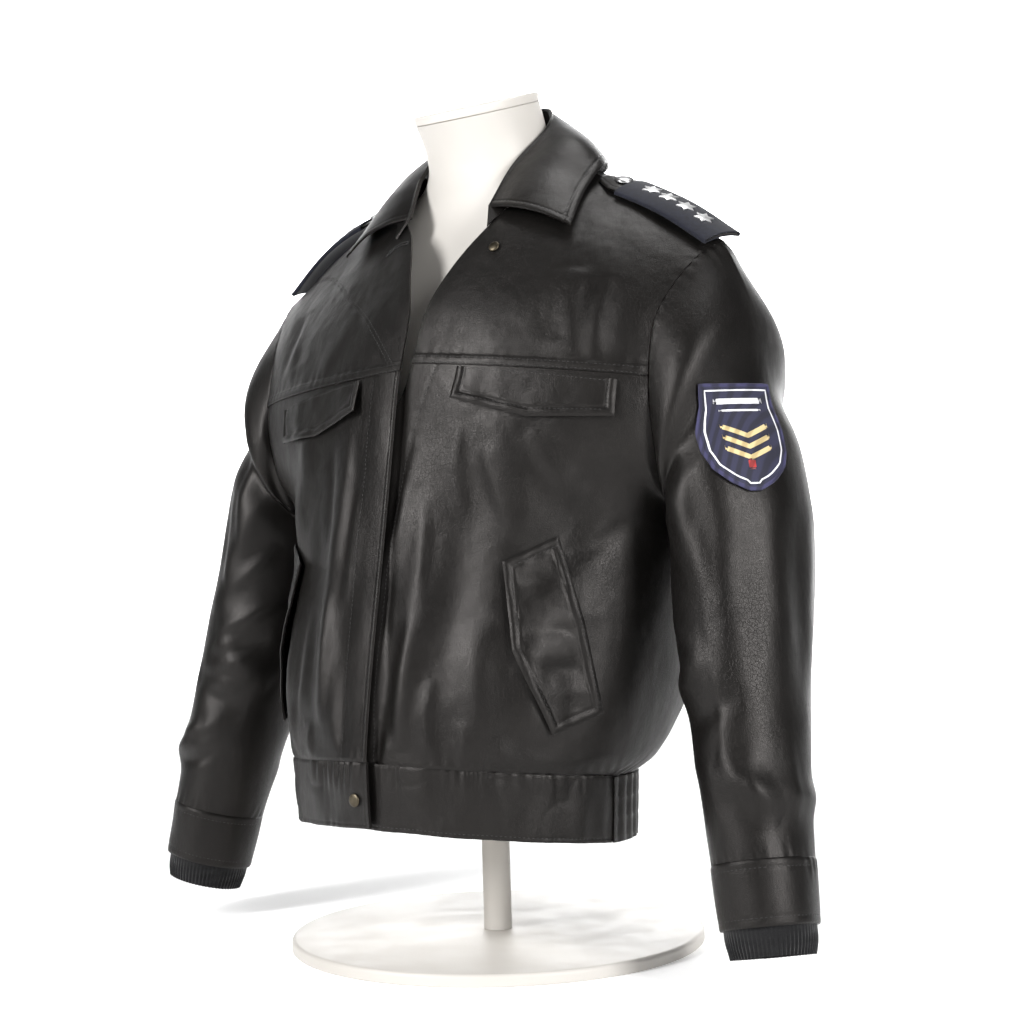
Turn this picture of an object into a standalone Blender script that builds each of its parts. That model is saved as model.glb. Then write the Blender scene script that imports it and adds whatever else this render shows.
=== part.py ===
"""Leather police blouson worn on a white limbless dress form, on a short round stand.

Metres, +Z up. The front faces -Y and the wearer's left side is +X. The origin is the
middle of the stand's base, on the surface that it stands on. The garment is a set of
cloth walls: each panel is a grid of points read from a short table of sections, and the
pieces that meet at a seam share its points, so the seam gap is the same all along.
"""

import math

import bpy
import bmesh
import numpy as np
from mathutils import Vector
from mathutils.bvhtree import BVHTree

# Cloth and seams
WALL = 0.0020          # leather with its lining
SEAM = 0.0003          # gap between two pieces at a seam
LAY = 0.0012           # clearance under a piece that lies on another
FLAP = 0.0018          # a pocket flap's thickness
KNIT = 0.0030          # rib knit cuff
BAND_WALL = 0.0030     # waistband, two layers
ACROSS = 11            # columns of a half panel
LEFT, RIGHT = 1, -1    # the wearer's sides, as the sign of x

# Rows of a panel, counted from the waistband seam up
ARMPIT, YOKE, SHOULDER = 5, 8, 13

# The front's outer end: side seam up to the armpit, then the armhole up to the shoulder.
# lead and trail are the lengths of the curve's handles, turn its heading at the side,
# bow how far the handles are raised.
FRONT_SIDE = (
    "x y z lead trail turn bow",
    (0.1815, -0.045, 0.1800, 0.105, 0.088, 90, 0.003),
    (0.1930, -0.035, 0.2000, 0.115, 0.092, 90, 0),
    (0.2060, -0.020, 0.2500, 0.125, 0.098, 90, 0),
    (0.2140, -0.005, 0.3150, 0.128, 0.098, 90, 0),
    (0.2220, 0.008, 0.3720, 0.128, 0.092, 88, 0),
    (0.2320, 0.020, 0.4150, 0.125, 0.084, 86, 0),
    (0.2405, -0.036, 0.4500, 0.115, 0.062, 66, 0),
    (0.2450, -0.057, 0.5020, 0.105, 0.058, 48, 0),
    (0.2450, -0.060, 0.5450, 0.095, 0.060, 38, 0),
    (0.2450, -0.050, 0.5920, 0.080, 0.060, 34, 0),
    (0.2515, -0.034, 0.6220, 0.070, 0.060, 28, 0),
    (0.2620, -0.010, 0.6500, 0.060, 0.060, 18, 0.003),
    (0.2680, 0.011, 0.6640, 0.060, 0.060, 8, 0.006),
    (0.2720, 0.030, 0.6710, 0.060, 0.060, 0, 0.008),
)
# The free front edges, in each side's own x: below zero is past the middle.
LEFT_EDGE = (
    "x y z",
    (-0.014, -0.1940, 0.2000),
    (-0.014, -0.1918, 0.2200),
    (-0.014, -0.1870, 0.2600),
    (-0.014, -0.1770, 0.3200),
    (-0.013, -0.1650, 0.3800),
    (-0.010, -0.1540, 0.4400),
    (-0.001, -0.1465, 0.4900),
    (0.014, -0.1410, 0.5350),
    (0.029, -0.1360, 0.5690),
    (0.036, -0.1210, 0.6200),
    (0.050, -0.0985, 0.6600),
    (0.069, -0.0700, 0.6970),
    (0.083, -0.0220, 0.7370),
    (0.085, 0.0300, 0.7720),
)
RIGHT_EDGE = (
    "x y z",
    (-0.016, -0.2010, 0.2010),
    (-0.016, -0.1990, 0.2200),
    (-0.016, -0.1935, 0.2600),
    (-0.016, -0.1835, 0.3200),
    (-0.016, -0.1715, 0.3800),
    (-0.016, -0.1605, 0.4400),
    (-0.017, -0.1535, 0.4900),
    (-0.019, -0.1480, 0.5350),
    (-0.020, -0.1430, 0.5620),
    (-0.020, -0.1275, 0.6150),
    (-0.002, -0.1045, 0.6550),
    (0.022, -0.0740, 0.6970),
    (0.074, -0.0240, 0.7370),
    (0.085, 0.0300, 0.7720),
)
# The back has one row more, for the neckline between its middle and the shoulder seam.
BACK_SIDE = (
    "x y z lead trail turn bow",
    (0.1815, -0.045, 0.1800, 0.100, 0.082, -90, 0),
    (0.1930, -0.035, 0.2000, 0.115, 0.098, -90, 0),
    (0.2060, -0.020, 0.2500, 0.130, 0.112, -90, 0),
    (0.2140, -0.005, 0.3150, 0.130, 0.105, -90, 0),
    (0.2220, 0.008, 0.3720, 0.130, 0.092, -88, 0),
    (0.2320, 0.020, 0.4150, 0.130, 0.082, -86, 0),
    (0.2430, 0.070, 0.4450, 0.120, 0.060, -66, 0),
    (0.2490, 0.105, 0.4850, 0.105, 0.055, -40, 0),
    (0.2510, 0.121, 0.5250, 0.095, 0.055, -26, 0),
    (0.2510, 0.125, 0.5650, 0.090, 0.055, -18, 0),
    (0.2520, 0.118, 0.6000, 0.085, 0.055, -14, 0),
    (0.2560, 0.100, 0.6280, 0.080, 0.055, -12, 0),
    (0.2620, 0.075, 0.6480, 0.080, 0.055, -8, 0.003),
    (0.2680, 0.052, 0.6630, 0.070, 0.055, -4, 0.006),
    (0.2720, 0.030, 0.6710, 0.060, 0.060, 0, 0.008),
)
BACK_MIDDLE = (
    "x y z",
    (0, 0.0930, 0.1740),
    (0, 0.1280, 0.1880),
    (0, 0.1660, 0.2380),
    (0, 0.1660, 0.3100),
    (0, 0.1580, 0.3700),
    (0, 0.1530, 0.4300),
    (0, 0.1510, 0.4800),
    (0, 0.1500, 0.5300),
    (0, 0.1490, 0.5800),
    (0, 0.1450, 0.6300),
    (0, 0.1340, 0.6800),
    (0, 0.1160, 0.7380),
    (0, 0.0900, 0.7930),
    (0.048, 0.0820, 0.7890),
    (0.085, 0.0300, 0.7720),
)
# Sleeve rings under the armhole: centre, lean of the ring about Y (tilt) and about X
# (pitch), and its half widths across and fore-and-aft.
SLEEVE = (
    "x y z tilt pitch across deep",
    (0.2680, 0.027, 0.5080, 70.3, 0, 0.1045, 0.0940),
    (0.2710, 0.0245, 0.4760, 58.5, 0, 0.0750, 0.0780),
    (0.2830, 0.018, 0.4450, 42.0, 0, 0.0680, 0.0820),
    (0.2930, 0.012, 0.4050, 21.0, 0, 0.0625, 0.0780),
    (0.2990, 0.003, 0.3600, 11.0, 1, 0.0610, 0.0740),
    (0.3070, -0.009, 0.3120, 9.5, 4, 0.0590, 0.0700),
    (0.3180, -0.023, 0.2580, 10.0, 7, 0.0530, 0.0635),
    (0.3290, -0.036, 0.2040, 11.0, 9, 0.0490, 0.0570),
    (0.3390, -0.046, 0.1540, 11.5, 9, 0.0460, 0.0520),
    (0.3470, -0.053, 0.1160, 11.5, 9, 0.0445, 0.0490),
)
SLEEVE_RADIUS = 0.068  # its mean radius, for drawing folds on it
CUFF_SWELL = 0.0012    # how far the cuff stands out past the sleeve's end
KNIT_ROOM = 0.0006     # gap between the knit and the cuff round it
CUFF_END = (0.3570, -0.0610, 0.0610, 11.5, 9, 0.0425, 0.0450)
KNIT_MOUTH = (0.3595, -0.0625, 0.0480, 11.5, 9, 0.0390, 0.0415)
KNIT_END = (0.3610, -0.0640, 0.0370, 11.5, 9, 0.0365, 0.0390)
KNIT_UP = 0.35         # how far up the cuff the knit starts, as a share of the cuff

# Waistband, under the panels' lowest row; its back is gathered on elastic
BAND_HIGH, BAND_TUCK = 0.0620, 0.985
BAND_MIDDLE = np.array([0, -0.054, 0])
BAND_SWELL = 0.004
ELASTIC_BUMPS, ELASTIC_BUMP = 9, 0.0024
ELASTIC_DROP = 0.0008

# Collar: three lines from the middle of the back round to the front
COLLAR_SEAM = (
    "x y z",
    (0.000, 0.0900, 0.7939),
    (0.048, 0.0820, 0.7899),
    (0.085, 0.0300, 0.7735),
    (0.0835, -0.0215, 0.7382),
    (0.0700, -0.0690, 0.6986),
)
COLLAR_ROLL = (
    "x y z",
    (0.000, 0.0800, 0.8400),
    (0.042, 0.0680, 0.8330),
    (0.0655, 0.0300, 0.8050),
    (0.0620, -0.0180, 0.7640),
    (0.0620, -0.0560, 0.7200),
)
COLLAR_EDGE = (
    "x y z",
    (0.000, 0.1300, 0.7720),
    (0.075, 0.1140, 0.7700),
    (0.1310, 0.0420, 0.7650),
    (0.1420, -0.0060, 0.7330),
    (0.1570, -0.0520, 0.6920),
)
COLLAR_SHIFT = (0, 0, 0.000, 0.005, 0.024)  # the right half is further over by this,
COLLAR_LIFT = (0, 0, 0.0003, 0.0012, 0.0012)  # and higher by this
COLLAR_CROWN = 0.008   # how far the leaf bows out between its roll and its edge
COLLAR_STEPS = 16      # columns of half the collar

# Flaps, drawn on an upright plane turned to the side: distance across it, and height
CHEST_TURN, POCKET_TURN = 20, 40
CHEST_TOP = ((0.0330, 0.5625), (0.1080, 0.5545), (0.1840, 0.5425))
CHEST_LOW = ((0.0280, 0.5330), (0.1010, 0.5130), (0.1810, 0.5100))
CHEST_SHIFT = (-0.051, -0.006)  # the right front hangs further over and lower
POCKET_FAR = ((0.0140, 0.3817), (0.0206, 0.3012), (0.0533, 0.2246))
POCKET_NEAR = ((0.0655, 0.4035), (0.0865, 0.3250), (0.1015, 0.2415))
POCKET_SHIFT = (-0.010, 0)

# Shoulder strap and the cloth slide on it, along the shoulder seam
STRAP_LINE = (
    "x y z",
    (0.1400, 0.0300, 0.7481),
    (0.1820, 0.0290, 0.7306),
    (0.2270, 0.0275, 0.7076),
    (0.2740, 0.0260, 0.6761),
)
STRAP_WIDE, STRAP_THICK, STRAP_ARCH = 0.042, 0.0015, 0.0030
STRAP_LEAN = 18        # degrees that its front edge hangs down
STRAP_RISE = 0.008     # how far the right one arches up off the shoulder
SLIDE_FROM, SLIDE_TO = 0.24, 1.0
SLIDE_WIDE, SLIDE_WALL, SLIDE_HALF = 0.050, 0.0012, 0.0027
BUTTON_AT, BUTTON_RADIUS, BUTTON_HIGH = 0.17, 0.0090, 0.0040

# Sleeve patch: middle and turn of the plane that it is drawn on, and its outline
PATCH_TURN, PATCH_MIDDLE = 57, (0.1555, 0.4870)
PATCH_TALL, PATCH_THICK = 0.096, 0.0015
PATCH_OUTLINE = (
    "down half",
    (0.00, 0.0385),
    (0.20, 0.0365),
    (0.45, 0.0400),
    (0.65, 0.0400),
    (0.80, 0.0345),
    (0.92, 0.0215),
    (1.00, 0.0060),
)

NECK_BUTTON = (0.0740, 0.6760, 0.0055)
SNAP_AT = 0.165          # height of the snap on the waistband's front end
SNAP_RADIUS, SNAP_HIGH = 0.0062, 0.0022

# Dress form: height, middle, half widths across and fore-and-aft
FORM = (
    "z y across deep",
    (0.1500, -0.050, 0.1480, 0.1120),
    (0.2100, -0.048, 0.1560, 0.1180),
    (0.3000, -0.034, 0.1540, 0.1180),
    (0.4000, -0.012, 0.1640, 0.1200),
    (0.4900, 0.002, 0.1780, 0.1200),
    (0.5700, 0.012, 0.1880, 0.1120),
    (0.6300, 0.022, 0.1930, 0.0960),
    (0.6770, 0.030, 0.1830, 0.0760),
    (0.7100, 0.034, 0.1550, 0.0650),
    (0.7380, 0.034, 0.1120, 0.0600),
    (0.7640, 0.030, 0.0740, 0.0600),
    (0.7900, 0.022, 0.0640, 0.0610),
    (0.8270, 0.006, 0.0620, 0.0620),
)
FORM_SIDES = 24
NECK_TILT = 16         # the neck's top rises to the back, more and more from NECK_FROM up
NECK_FROM = 0.77
CAP_HIGH = 0.009
POLE_RADIUS = 0.014
BASE_RADIUS, BASE_HIGH, BASE_EDGE = 0.205, 0.012, 0.004

# Largest folds of the fronts: a line from one x, z to another in the side's own x,
# its half width and its height, which is negative for a trough
FRONT_FOLDS = (
    "x0 z0 x1 z1 wide high",
    (0.060, 0.500, 0.045, 0.210, 0.016, 0.0045),
    (0.095, 0.470, 0.085, 0.260, 0.020, -0.0040),
    (0.120, 0.520, 0.150, 0.400, 0.018, 0.0040),
    (0.200, 0.470, 0.130, 0.330, 0.020, -0.0045),
    (0.110, 0.330, 0.120, 0.205, 0.016, 0.0045),
    (0.030, 0.330, 0.020, 0.200, 0.012, -0.0030),
    (0.185, 0.640, 0.170, 0.580, 0.018, -0.0040),
)
BACK_FOLDS = (
    "x0 z0 x1 z1 wide high",
    (0.040, 0.420, 0.030, 0.200, 0.020, 0.0050),
    (0.090, 0.360, 0.100, 0.200, 0.018, -0.0045),
    (0.145, 0.420, 0.150, 0.220, 0.020, 0.0050),
    (0.210, 0.500, 0.140, 0.400, 0.020, -0.0050),
    (-0.050, 0.400, -0.070, 0.210, 0.020, -0.0045),
    (-0.120, 0.380, -0.110, 0.200, 0.019, 0.0050),
    (-0.205, 0.510, -0.150, 0.390, 0.020, -0.0050),
)
# Largest folds of a sleeve: angle from the underarm seam, height, as above
SLEEVE_FOLDS = (
    "a0 z0 a1 z1 wide high",
    (60, 0.470, 110, 0.330, 0.018, 0.0050),
    (95, 0.300, 20, 0.250, 0.014, 0.0055),
    (120, 0.265, 40, 0.225, 0.013, -0.0050),
    (250, 0.320, 320, 0.270, 0.015, 0.0045),
    (170, 0.420, 200, 0.240, 0.022, -0.0035),
    (300, 0.460, 260, 0.360, 0.018, -0.0050),
    (90, 0.215, 150, 0.160, 0.013, 0.0040),
    (30, 0.200, 330, 0.150, 0.013, 0.0040),
)

COLOURS = {
    "leather": ((0.016, 0.015, 0.014), 0.38, 0.0),
    "knit": ((0.008, 0.008, 0.009), 0.95, 0.0),
    "elastic": ((0.014, 0.013, 0.013), 0.50, 0.0),
    "slide": ((0.008, 0.009, 0.020), 0.90, 0.0),
    "silver": ((0.80, 0.80, 0.80), 0.28, 1.0),
    "bronze": ((0.12, 0.10, 0.07), 0.40, 1.0),
    "patch": ((0.020, 0.020, 0.060), 0.85, 0.0),
    "form": ((0.86, 0.84, 0.79), 0.55, 0.0),
}


def table(named_rows):
    """The columns of a table by name."""
    names, rows = named_rows[0].split(), np.array(named_rows[1:], float)
    return {name: rows[:, k] for k, name in enumerate(names)}


def smooth(values, at):
    """A column read between its rows, on a curve through them."""
    at = np.clip(np.asarray(at, float), 0, len(values) - 1)
    row = np.minimum(at.astype(int), len(values) - 2)
    part = at - row
    ends = [2 * values[0] - values[1]], [2 * values[-1] - values[-2]]
    padded = np.concatenate([ends[0], values, ends[1]])
    a, b, c, d = (padded[row + k] for k in range(4))
    curve = part * (3 * (b - c) + d - a) + 2 * a - 5 * b + 4 * c - d
    return b + 0.5 * part * (c - a + part * curve)


def read(named_rows, at, corner=0):
    """Every column of a table at some row numbers, with a corner at one row."""
    found = {}
    for name, values in table(named_rows).items():
        above = smooth(values[corner:], np.asarray(at) - corner)
        below = smooth(values[:corner + 1], at) if corner else above
        found[name] = np.where(np.asarray(at) < corner, below, above)
    return found


def unit(vectors):
    return vectors / np.maximum(np.linalg.norm(vectors, axis=-1, keepdims=True), 1e-9)


def fold_height(across, up, named_rows):
    """How far soft folds lift the points, seen on a flat drawing of the panel."""
    lift = np.zeros(np.broadcast(across, up).shape)
    columns = table(named_rows)
    start0, low0, start1, low1, wide, high = columns.values()
    for k in range(len(wide)):
        run = np.array([start1[k] - start0[k], low1[k] - low0[k]])
        length = run @ run
        along = ((across - start0[k]) * run[0] + (up - low0[k]) * run[1]) / length
        held = np.clip(along, 0, 1)
        off = np.hypot(across - start0[k] - held * run[0], up - low0[k] - held * run[1])
        fade = np.sin(math.pi * held) ** 0.7
        lift += high[k] * fade * np.exp(-((off / wide[k]) ** 2))
    return lift


def panel(inner, outer, rows, columns):
    """Points of a half panel: a curve on each row, from its inner to its outer end."""
    start, end = read(inner, rows), read(outer, rows, ARMPIT)
    turn = np.radians(end["turn"])
    lead, trail = end["lead"], end["trail"]
    x = (start["x"], start["x"] + lead, end["x"] - trail * np.cos(turn), end["x"])
    y = (start["y"], start["y"], end["y"] - trail * np.sin(turn), end["y"])
    third = (end["z"] - start["z"]) / 3
    bow = end["bow"]
    z = (start["z"], start["z"] + third + bow, end["z"] - third + bow, end["z"])
    u = columns
    weights = ((1 - u) ** 3, 3 * u * (1 - u) ** 2, 3 * u * u * (1 - u), u**3)
    points = [sum(w * v for w, v in zip(weights, value)) for value in (x, y, z)]
    return np.stack(points, axis=-1)


PANELS = {
    "front left": (LEFT_EDGE, FRONT_SIDE, FRONT_FOLDS),
    "front right": (RIGHT_EDGE, FRONT_SIDE, FRONT_FOLDS),
    "back": (BACK_MIDDLE, BACK_SIDE, BACK_FOLDS),
}


def outward(surface, rows, columns, step=0.02):
    """The outer side's direction, from the surface a little to each side."""
    inner, outer, _ = PANELS[surface]
    last = len(outer) - 2
    low, high = np.clip(rows - step, 0, last), np.clip(rows + step, 0, last)
    left, right = np.clip(columns - step, 0, 1), np.clip(columns + step, 0, 1)
    along = panel(inner, outer, rows, right) - panel(inner, outer, rows, left)
    rise = panel(inner, outer, high, columns) - panel(inner, outer, low, columns)
    direction = unit(np.cross(along, rise))
    return -direction if surface == "back" else direction


def half_panel(surface, rows, columns, side):
    """A half panel's grid with its folds, on its own side of the body."""
    rows, columns = rows[:, None], columns[None, :]
    inner, outer, folds = PANELS[surface]
    points = panel(inner, outer, rows, columns)
    ease = np.clip(rows / 1.2, 0, 1) * np.clip(6 * (1 - columns), 0, 1)
    drawn = points[..., 0]
    if surface == "back":
        drawn = side * drawn
    else:
        ease = ease * np.clip(8 * columns, 0, 1)
    height = fold_height(drawn, points[..., 2], folds) * ease
    return (points + outward(surface, rows, columns) * height[..., None]) * (side, 1, 1)


LOWER_ROWS = np.concatenate([np.arange(0, YOKE, 0.5), [YOKE]])
YOKE_ROWS = np.arange(YOKE, SHOULDER + 1.0)
BACK_ROWS = np.concatenate([np.arange(0, YOKE, 0.5), np.arange(YOKE, SHOULDER + 2.0)])
COLUMNS = np.linspace(0, 1, ACROSS)


def front_points(side, rows, columns):
    return half_panel(f"front {word(side)}", rows, columns, side)


def back_points(side, rows, columns):
    return half_panel("back", rows, columns, side)


def armhole(side):
    """The armhole's points: from the armpit up the front, and down the back again."""
    last = np.array([1.0])
    up = np.concatenate([np.arange(ARMPIT, YOKE, 0.5), YOKE_ROWS])
    down = BACK_ROWS[BACK_ROWS >= ARMPIT][::-1]
    front = front_points(side, up, last)[:, 0]
    back = back_points(side, down, last)[:, 0]
    return front, back


def around(front, back):
    """The angle of each armhole point: 0 at the armpit, half a turn at the shoulder."""
    angles = []
    for half, start in ((front, 0), (back, math.pi)):
        steps = np.linalg.norm(np.diff(half, axis=0), axis=1)
        angles.append(start + math.pi * np.concatenate([[0], np.cumsum(steps)]) / steps.sum())
    return np.concatenate([angles[0], angles[1][1:-1]])


def ring(row, angles, side):
    """One oval ring of the sleeve, its points at the armhole's angles."""
    x, y, z, tilt, pitch, across, deep = row
    tilt, pitch = math.radians(tilt), math.radians(pitch)
    out = np.array([math.cos(tilt), 0, math.sin(tilt)])
    aft = np.array([0, math.cos(pitch), -math.sin(pitch)])
    steps = -across * np.cos(angles)[:, None] * out - deep * np.sin(angles)[:, None] * aft
    return (np.array([x, y, z]) + steps) * (side, 1, 1)


def sleeve_rings(side, angles, rings_at):
    """The sleeve's rings without folds, from the armhole (0) to the cuff seam."""
    front, back = armhole(side)
    rings = [np.concatenate([front, back[1:-1]])]
    rings += [ring(row, angles, side) for row in SLEEVE[1:]]
    flat = np.stack(rings).reshape(len(rings), -1)
    at = np.clip(rings_at, 0, len(SLEEVE) - 1)
    read_at = np.array([smooth(flat[:, k], at) for k in range(flat.shape[1])])
    return read_at.T.reshape(len(at), -1, 3)


def sleeve_points(side, rings_at, lift=0.0):
    """The sleeve's rings with its folds, moved out by lift."""
    angles = around(*armhole(side))
    points = sleeve_rings(side, angles, rings_at)
    down = sleeve_rings(side, angles, rings_at + 0.1)
    down = down - sleeve_rings(side, angles, rings_at - 0.1)
    ahead = np.roll(points, -1, axis=1) - np.roll(points, 1, axis=1)
    normal = unit(np.cross(down, ahead)) * side
    last = len(SLEEVE) - 1
    ease = np.clip(rings_at / 1.5, 0, 1) * np.clip(2 * (last - rings_at), 0, 1)
    folds = fold_on_sleeve(angles, points[..., 2]) * ease[:, None]
    return points + normal * (lift + folds)[..., None], angles


def fold_on_sleeve(angles, heights):
    """Folds drawn on the sleeve laid flat, with its underarm seam at both ends."""
    radius = SLEEVE_RADIUS
    flat = list(SLEEVE_FOLDS[1:])
    flat = [(math.radians(a0) * radius, z0, math.radians(a1) * radius, z1, w, h)
            for a0, z0, a1, z1, w, h in flat]
    turn = 2 * math.pi * radius
    lift = np.zeros(heights.shape)
    for shift in (-turn, 0, turn):
        lift = lift + fold_height(
            (angles * radius)[None, :] + shift, heights, (SLEEVE_FOLDS[0], *flat)
        )
    return lift


class Sheet:
    """A surface of points and faces, its outer side shown, that becomes a cloth wall."""

    def __init__(self, name, material, thick=WALL):
        self.name, self.material, self.thick = name, material, thick
        self.points, self.faces = [], []

    def grid(self, points, flip=False, ring=False):
        """Adds a grid of points; a ring's last column joins its first."""
        rows, columns = points.shape[:2]
        base = len(self.points)
        self.points += [tuple(p) for p in points.reshape(-1, 3)]
        for i in range(rows - 1):
            for j in range(columns if ring else columns - 1):
                k = (j + 1) % columns
                face = [i * columns + j, i * columns + k]
                face += [(i + 1) * columns + k, (i + 1) * columns + j]
                face = [base + v for v in face]
                self.faces.append(face[::-1] if flip else face)
        return self

    def weld(self):
        """Merges the points that fall on each other."""
        places, where, faces = {}, [], []
        kept = []
        for p in self.points:
            key = tuple(round(c, 6) for c in p)
            if key not in places:
                places[key] = len(kept)
                kept.append(p)
            where.append(places[key])
        for face in self.faces:
            joined = list(dict.fromkeys(where[v] for v in face))
            if len(joined) > 2:
                faces.append(joined)
        self.points, self.faces = kept, faces
        return self

    def normals(self):
        points = np.array(self.points)
        total = np.zeros_like(points)
        for face in self.faces:
            corners = points[face]
            flat = np.cross(corners[2] - corners[0], corners[-1] - corners[1])
            for v in face:
                total[v] += flat
        return unit(total)

    def rim(self):
        """The boundary's edges, in the direction that its faces run."""
        used = {}
        for face in self.faces:
            for a, b in zip(face, face[1:] + face[:1]):
                used[a, b] = True
        return [(a, b) for a, b in used if (b, a) not in used]


def seam_key(point):
    return tuple(int(round(c * 20000)) for c in point)


def share_seams(sheets):
    """The directions of the walls' edges, the same for all pieces that meet there."""
    shared = {}
    for sheet in sheets:
        normals = sheet.normals()
        for v in {v for edge in sheet.rim() for v in edge}:
            key = seam_key(sheet.points[v])
            shared[key] = shared.get(key, 0) + normals[v]
    return {key: total / np.linalg.norm(total) for key, total in shared.items()}


def wall(sheet, shared):
    """Builds the sheet's solid: outer side, inner side and the edges between them."""
    points, normals = np.array(sheet.points), sheet.normals()
    edges = sheet.rim()
    pull = np.zeros_like(points)
    for a, b in edges:
        away = np.cross(points[b] - points[a], normals[a] + normals[b])
        away /= max(np.linalg.norm(away), 1e-12)
        pull[a] += away
        pull[b] += away
    on_rim = sorted({v for edge in edges for v in edge})
    outer = points.copy()
    for v in on_rim:
        outer[v] -= unit(pull[v]) * SEAM / 2 * 1.15
        normals[v] = shared.get(seam_key(points[v]), normals[v])
    inner = outer - normals * sheet.thick
    count = len(points)
    faces = [list(f) for f in sheet.faces]
    faces += [[v + count for v in f[::-1]] for f in sheet.faces]
    faces += [[b, a, a + count, b + count] for a, b in edges]
    return solid(sheet.name, np.concatenate([outer, inner]), faces, sheet.material)


def solid(name, points, faces, material):
    """Makes one object of a closed mesh, split into triangles."""
    mesh = bpy.data.meshes.new(name)
    mesh.from_pydata([tuple(p) for p in points], [], [list(f) for f in faces])
    work = bmesh.new()
    work.from_mesh(mesh)
    bmesh.ops.triangulate(work, faces=work.faces)
    bmesh.ops.recalc_face_normals(work, faces=work.faces)
    work.to_mesh(mesh)
    work.free()
    mesh.shade_smooth()
    mesh.set_sharp_from_angle(angle=math.radians(50))
    item = bpy.data.objects.new(name, mesh)
    bpy.context.scene.collection.objects.link(item)
    item.data.materials.append(material_of(material))
    return item


def material_of(name):
    made = bpy.data.materials.get(name)
    if made is None:
        made = bpy.data.materials.new(name)
        made.use_nodes = True
        colour, rough, metal = COLOURS[name]
        shader = made.node_tree.nodes["Principled BSDF"]
        shader.inputs["Base Color"].default_value = (*colour, 1)
        shader.inputs["Roughness"].default_value = rough
        shader.inputs["Metallic"].default_value = metal
    return made


def word(side):
    return "left" if side == LEFT else "right"


def body_sheets():
    """Fronts, yokes and back."""
    sheets = []
    for side in (LEFT, RIGHT):
        flip = side == RIGHT
        lower = Sheet(f"front_{word(side)}", "leather")
        sheets.append(lower.grid(front_points(side, LOWER_ROWS, COLUMNS), flip))
        upper = Sheet(f"yoke_{word(side)}", "leather")
        sheets.append(upper.grid(front_points(side, YOKE_ROWS, COLUMNS), flip))
    back = Sheet("back", "leather")
    for side in (LEFT, RIGHT):
        back.grid(back_points(side, BACK_ROWS, COLUMNS), side == LEFT)
    sheets.append(back.weld())
    return sheets


def arm_sheets():
    """Sleeves and their leather cuffs, which share the sleeve's last ring."""
    sheets = []
    last = len(SLEEVE) - 1
    for side in (LEFT, RIGHT):
        rings_at = np.concatenate([np.arange(0, 4, 0.5), np.arange(4, last + 0.1, 0.5)])
        points, angles = sleeve_points(side, rings_at)
        sleeve = Sheet(f"sleeve_{word(side)}", "leather")
        sheets.append(sleeve.grid(points, side == LEFT, ring=True))
        end = ring(CUFF_END, angles, side)
        steps = np.array([0, 0.04, 0.5, 1])[:, None, None]
        cuff = Sheet(f"cuff_{word(side)}", "leather")
        tube = points[-1] + (end - points[-1]) * steps
        swell = ring((*CUFF_END[:5], 1, 1), angles, 1) - np.array(CUFF_END[:3])
        tube[1:] += swell * (side, 1, 1) * CUFF_SWELL
        sheets.append(cuff.grid(tube, side == LEFT, ring=True))
    return sheets


def knit_sheets():
    sheets = []
    for side in (LEFT, RIGHT):
        front, back = armhole(side)
        angles = around(front, back)
        room = WALL + KNIT_ROOM - CUFF_SWELL
        rows = []
        for share in (KNIT_UP, 0.0):
            top = np.array(SLEEVE[-1]) * share + np.array(CUFF_END) * (1 - share)
            top[5:] -= room
            rows.append(ring(top, angles, side))
        rows += [ring(KNIT_MOUTH, angles, side), ring(KNIT_END, angles, side)]
        rib = Sheet(f"knit_cuff_{word(side)}", "knit", KNIT)
        sheets.append(rib.grid(np.stack(rows), side == LEFT, ring=True))
    return sheets


def band_rows(top, drops, swell=0.0):
    """The panels' lowest row, repeated further down and drawn in a little."""
    rows = []
    for drop in drops:
        size = 1 - (1 - BAND_TUCK) * drop + swell * math.sin(math.pi * drop)
        row = BAND_MIDDLE + (top - BAND_MIDDLE) * (size, size, 1)
        rows.append(row - np.array([0, 0, BAND_HIGH * drop]))
    return np.stack(rows)


def band_sheets():
    """The two leather fronts of the waistband and its elastic back."""
    sheets = []
    for side in (LEFT, RIGHT):
        top = front_points(side, np.array([0.0]), COLUMNS)[0]
        band = Sheet(f"band_{word(side)}", "leather", BAND_WALL)
        rows = band_rows(top, (1.0, 0.5, 0.0), BAND_SWELL)
        sheets.append(band.grid(rows, side == RIGHT))
    fine = np.linspace(0, 1, 4 * ELASTIC_BUMPS + 1)
    halves = [back_points(side, np.array([0.0]), fine)[0] for side in (RIGHT, LEFT)]
    top = np.concatenate([halves[0][::-1], halves[1][1:]])
    rows = band_rows(top, (1.0, 0.5, 0.0))
    away = unit((top - BAND_MIDDLE) * (1, 1, 0))
    phase = np.linspace(0, 2 * ELASTIC_BUMPS * 2 * math.pi, len(top))
    wave = ELASTIC_BUMP * (np.cos(phase) - 1) / 2
    ease = np.array([0.6, 1, 0.4])[:, None]
    rows = rows + away * (wave * ease)[..., None]
    rows[-1, :, 2] -= ELASTIC_DROP
    elastic = Sheet("band_back", "elastic", BAND_WALL - 0.0005)
    return sheets, elastic.grid(rows, False)


def collar_line(named_rows):
    """A line of the collar from its right front end round the back to its left one."""
    count = len(named_rows) - 2
    at = np.linspace(0, count, COLLAR_STEPS + 1)
    half = np.stack(list(read(named_rows, at).values()), axis=-1)
    over = half.copy()
    over[:, 0] -= np.interp(at, range(count + 1), COLLAR_SHIFT)
    over[:, 2] += np.interp(at, range(count + 1), COLLAR_LIFT)
    return np.concatenate([over[:0:-1] * (-1, 1, 1), half])


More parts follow.
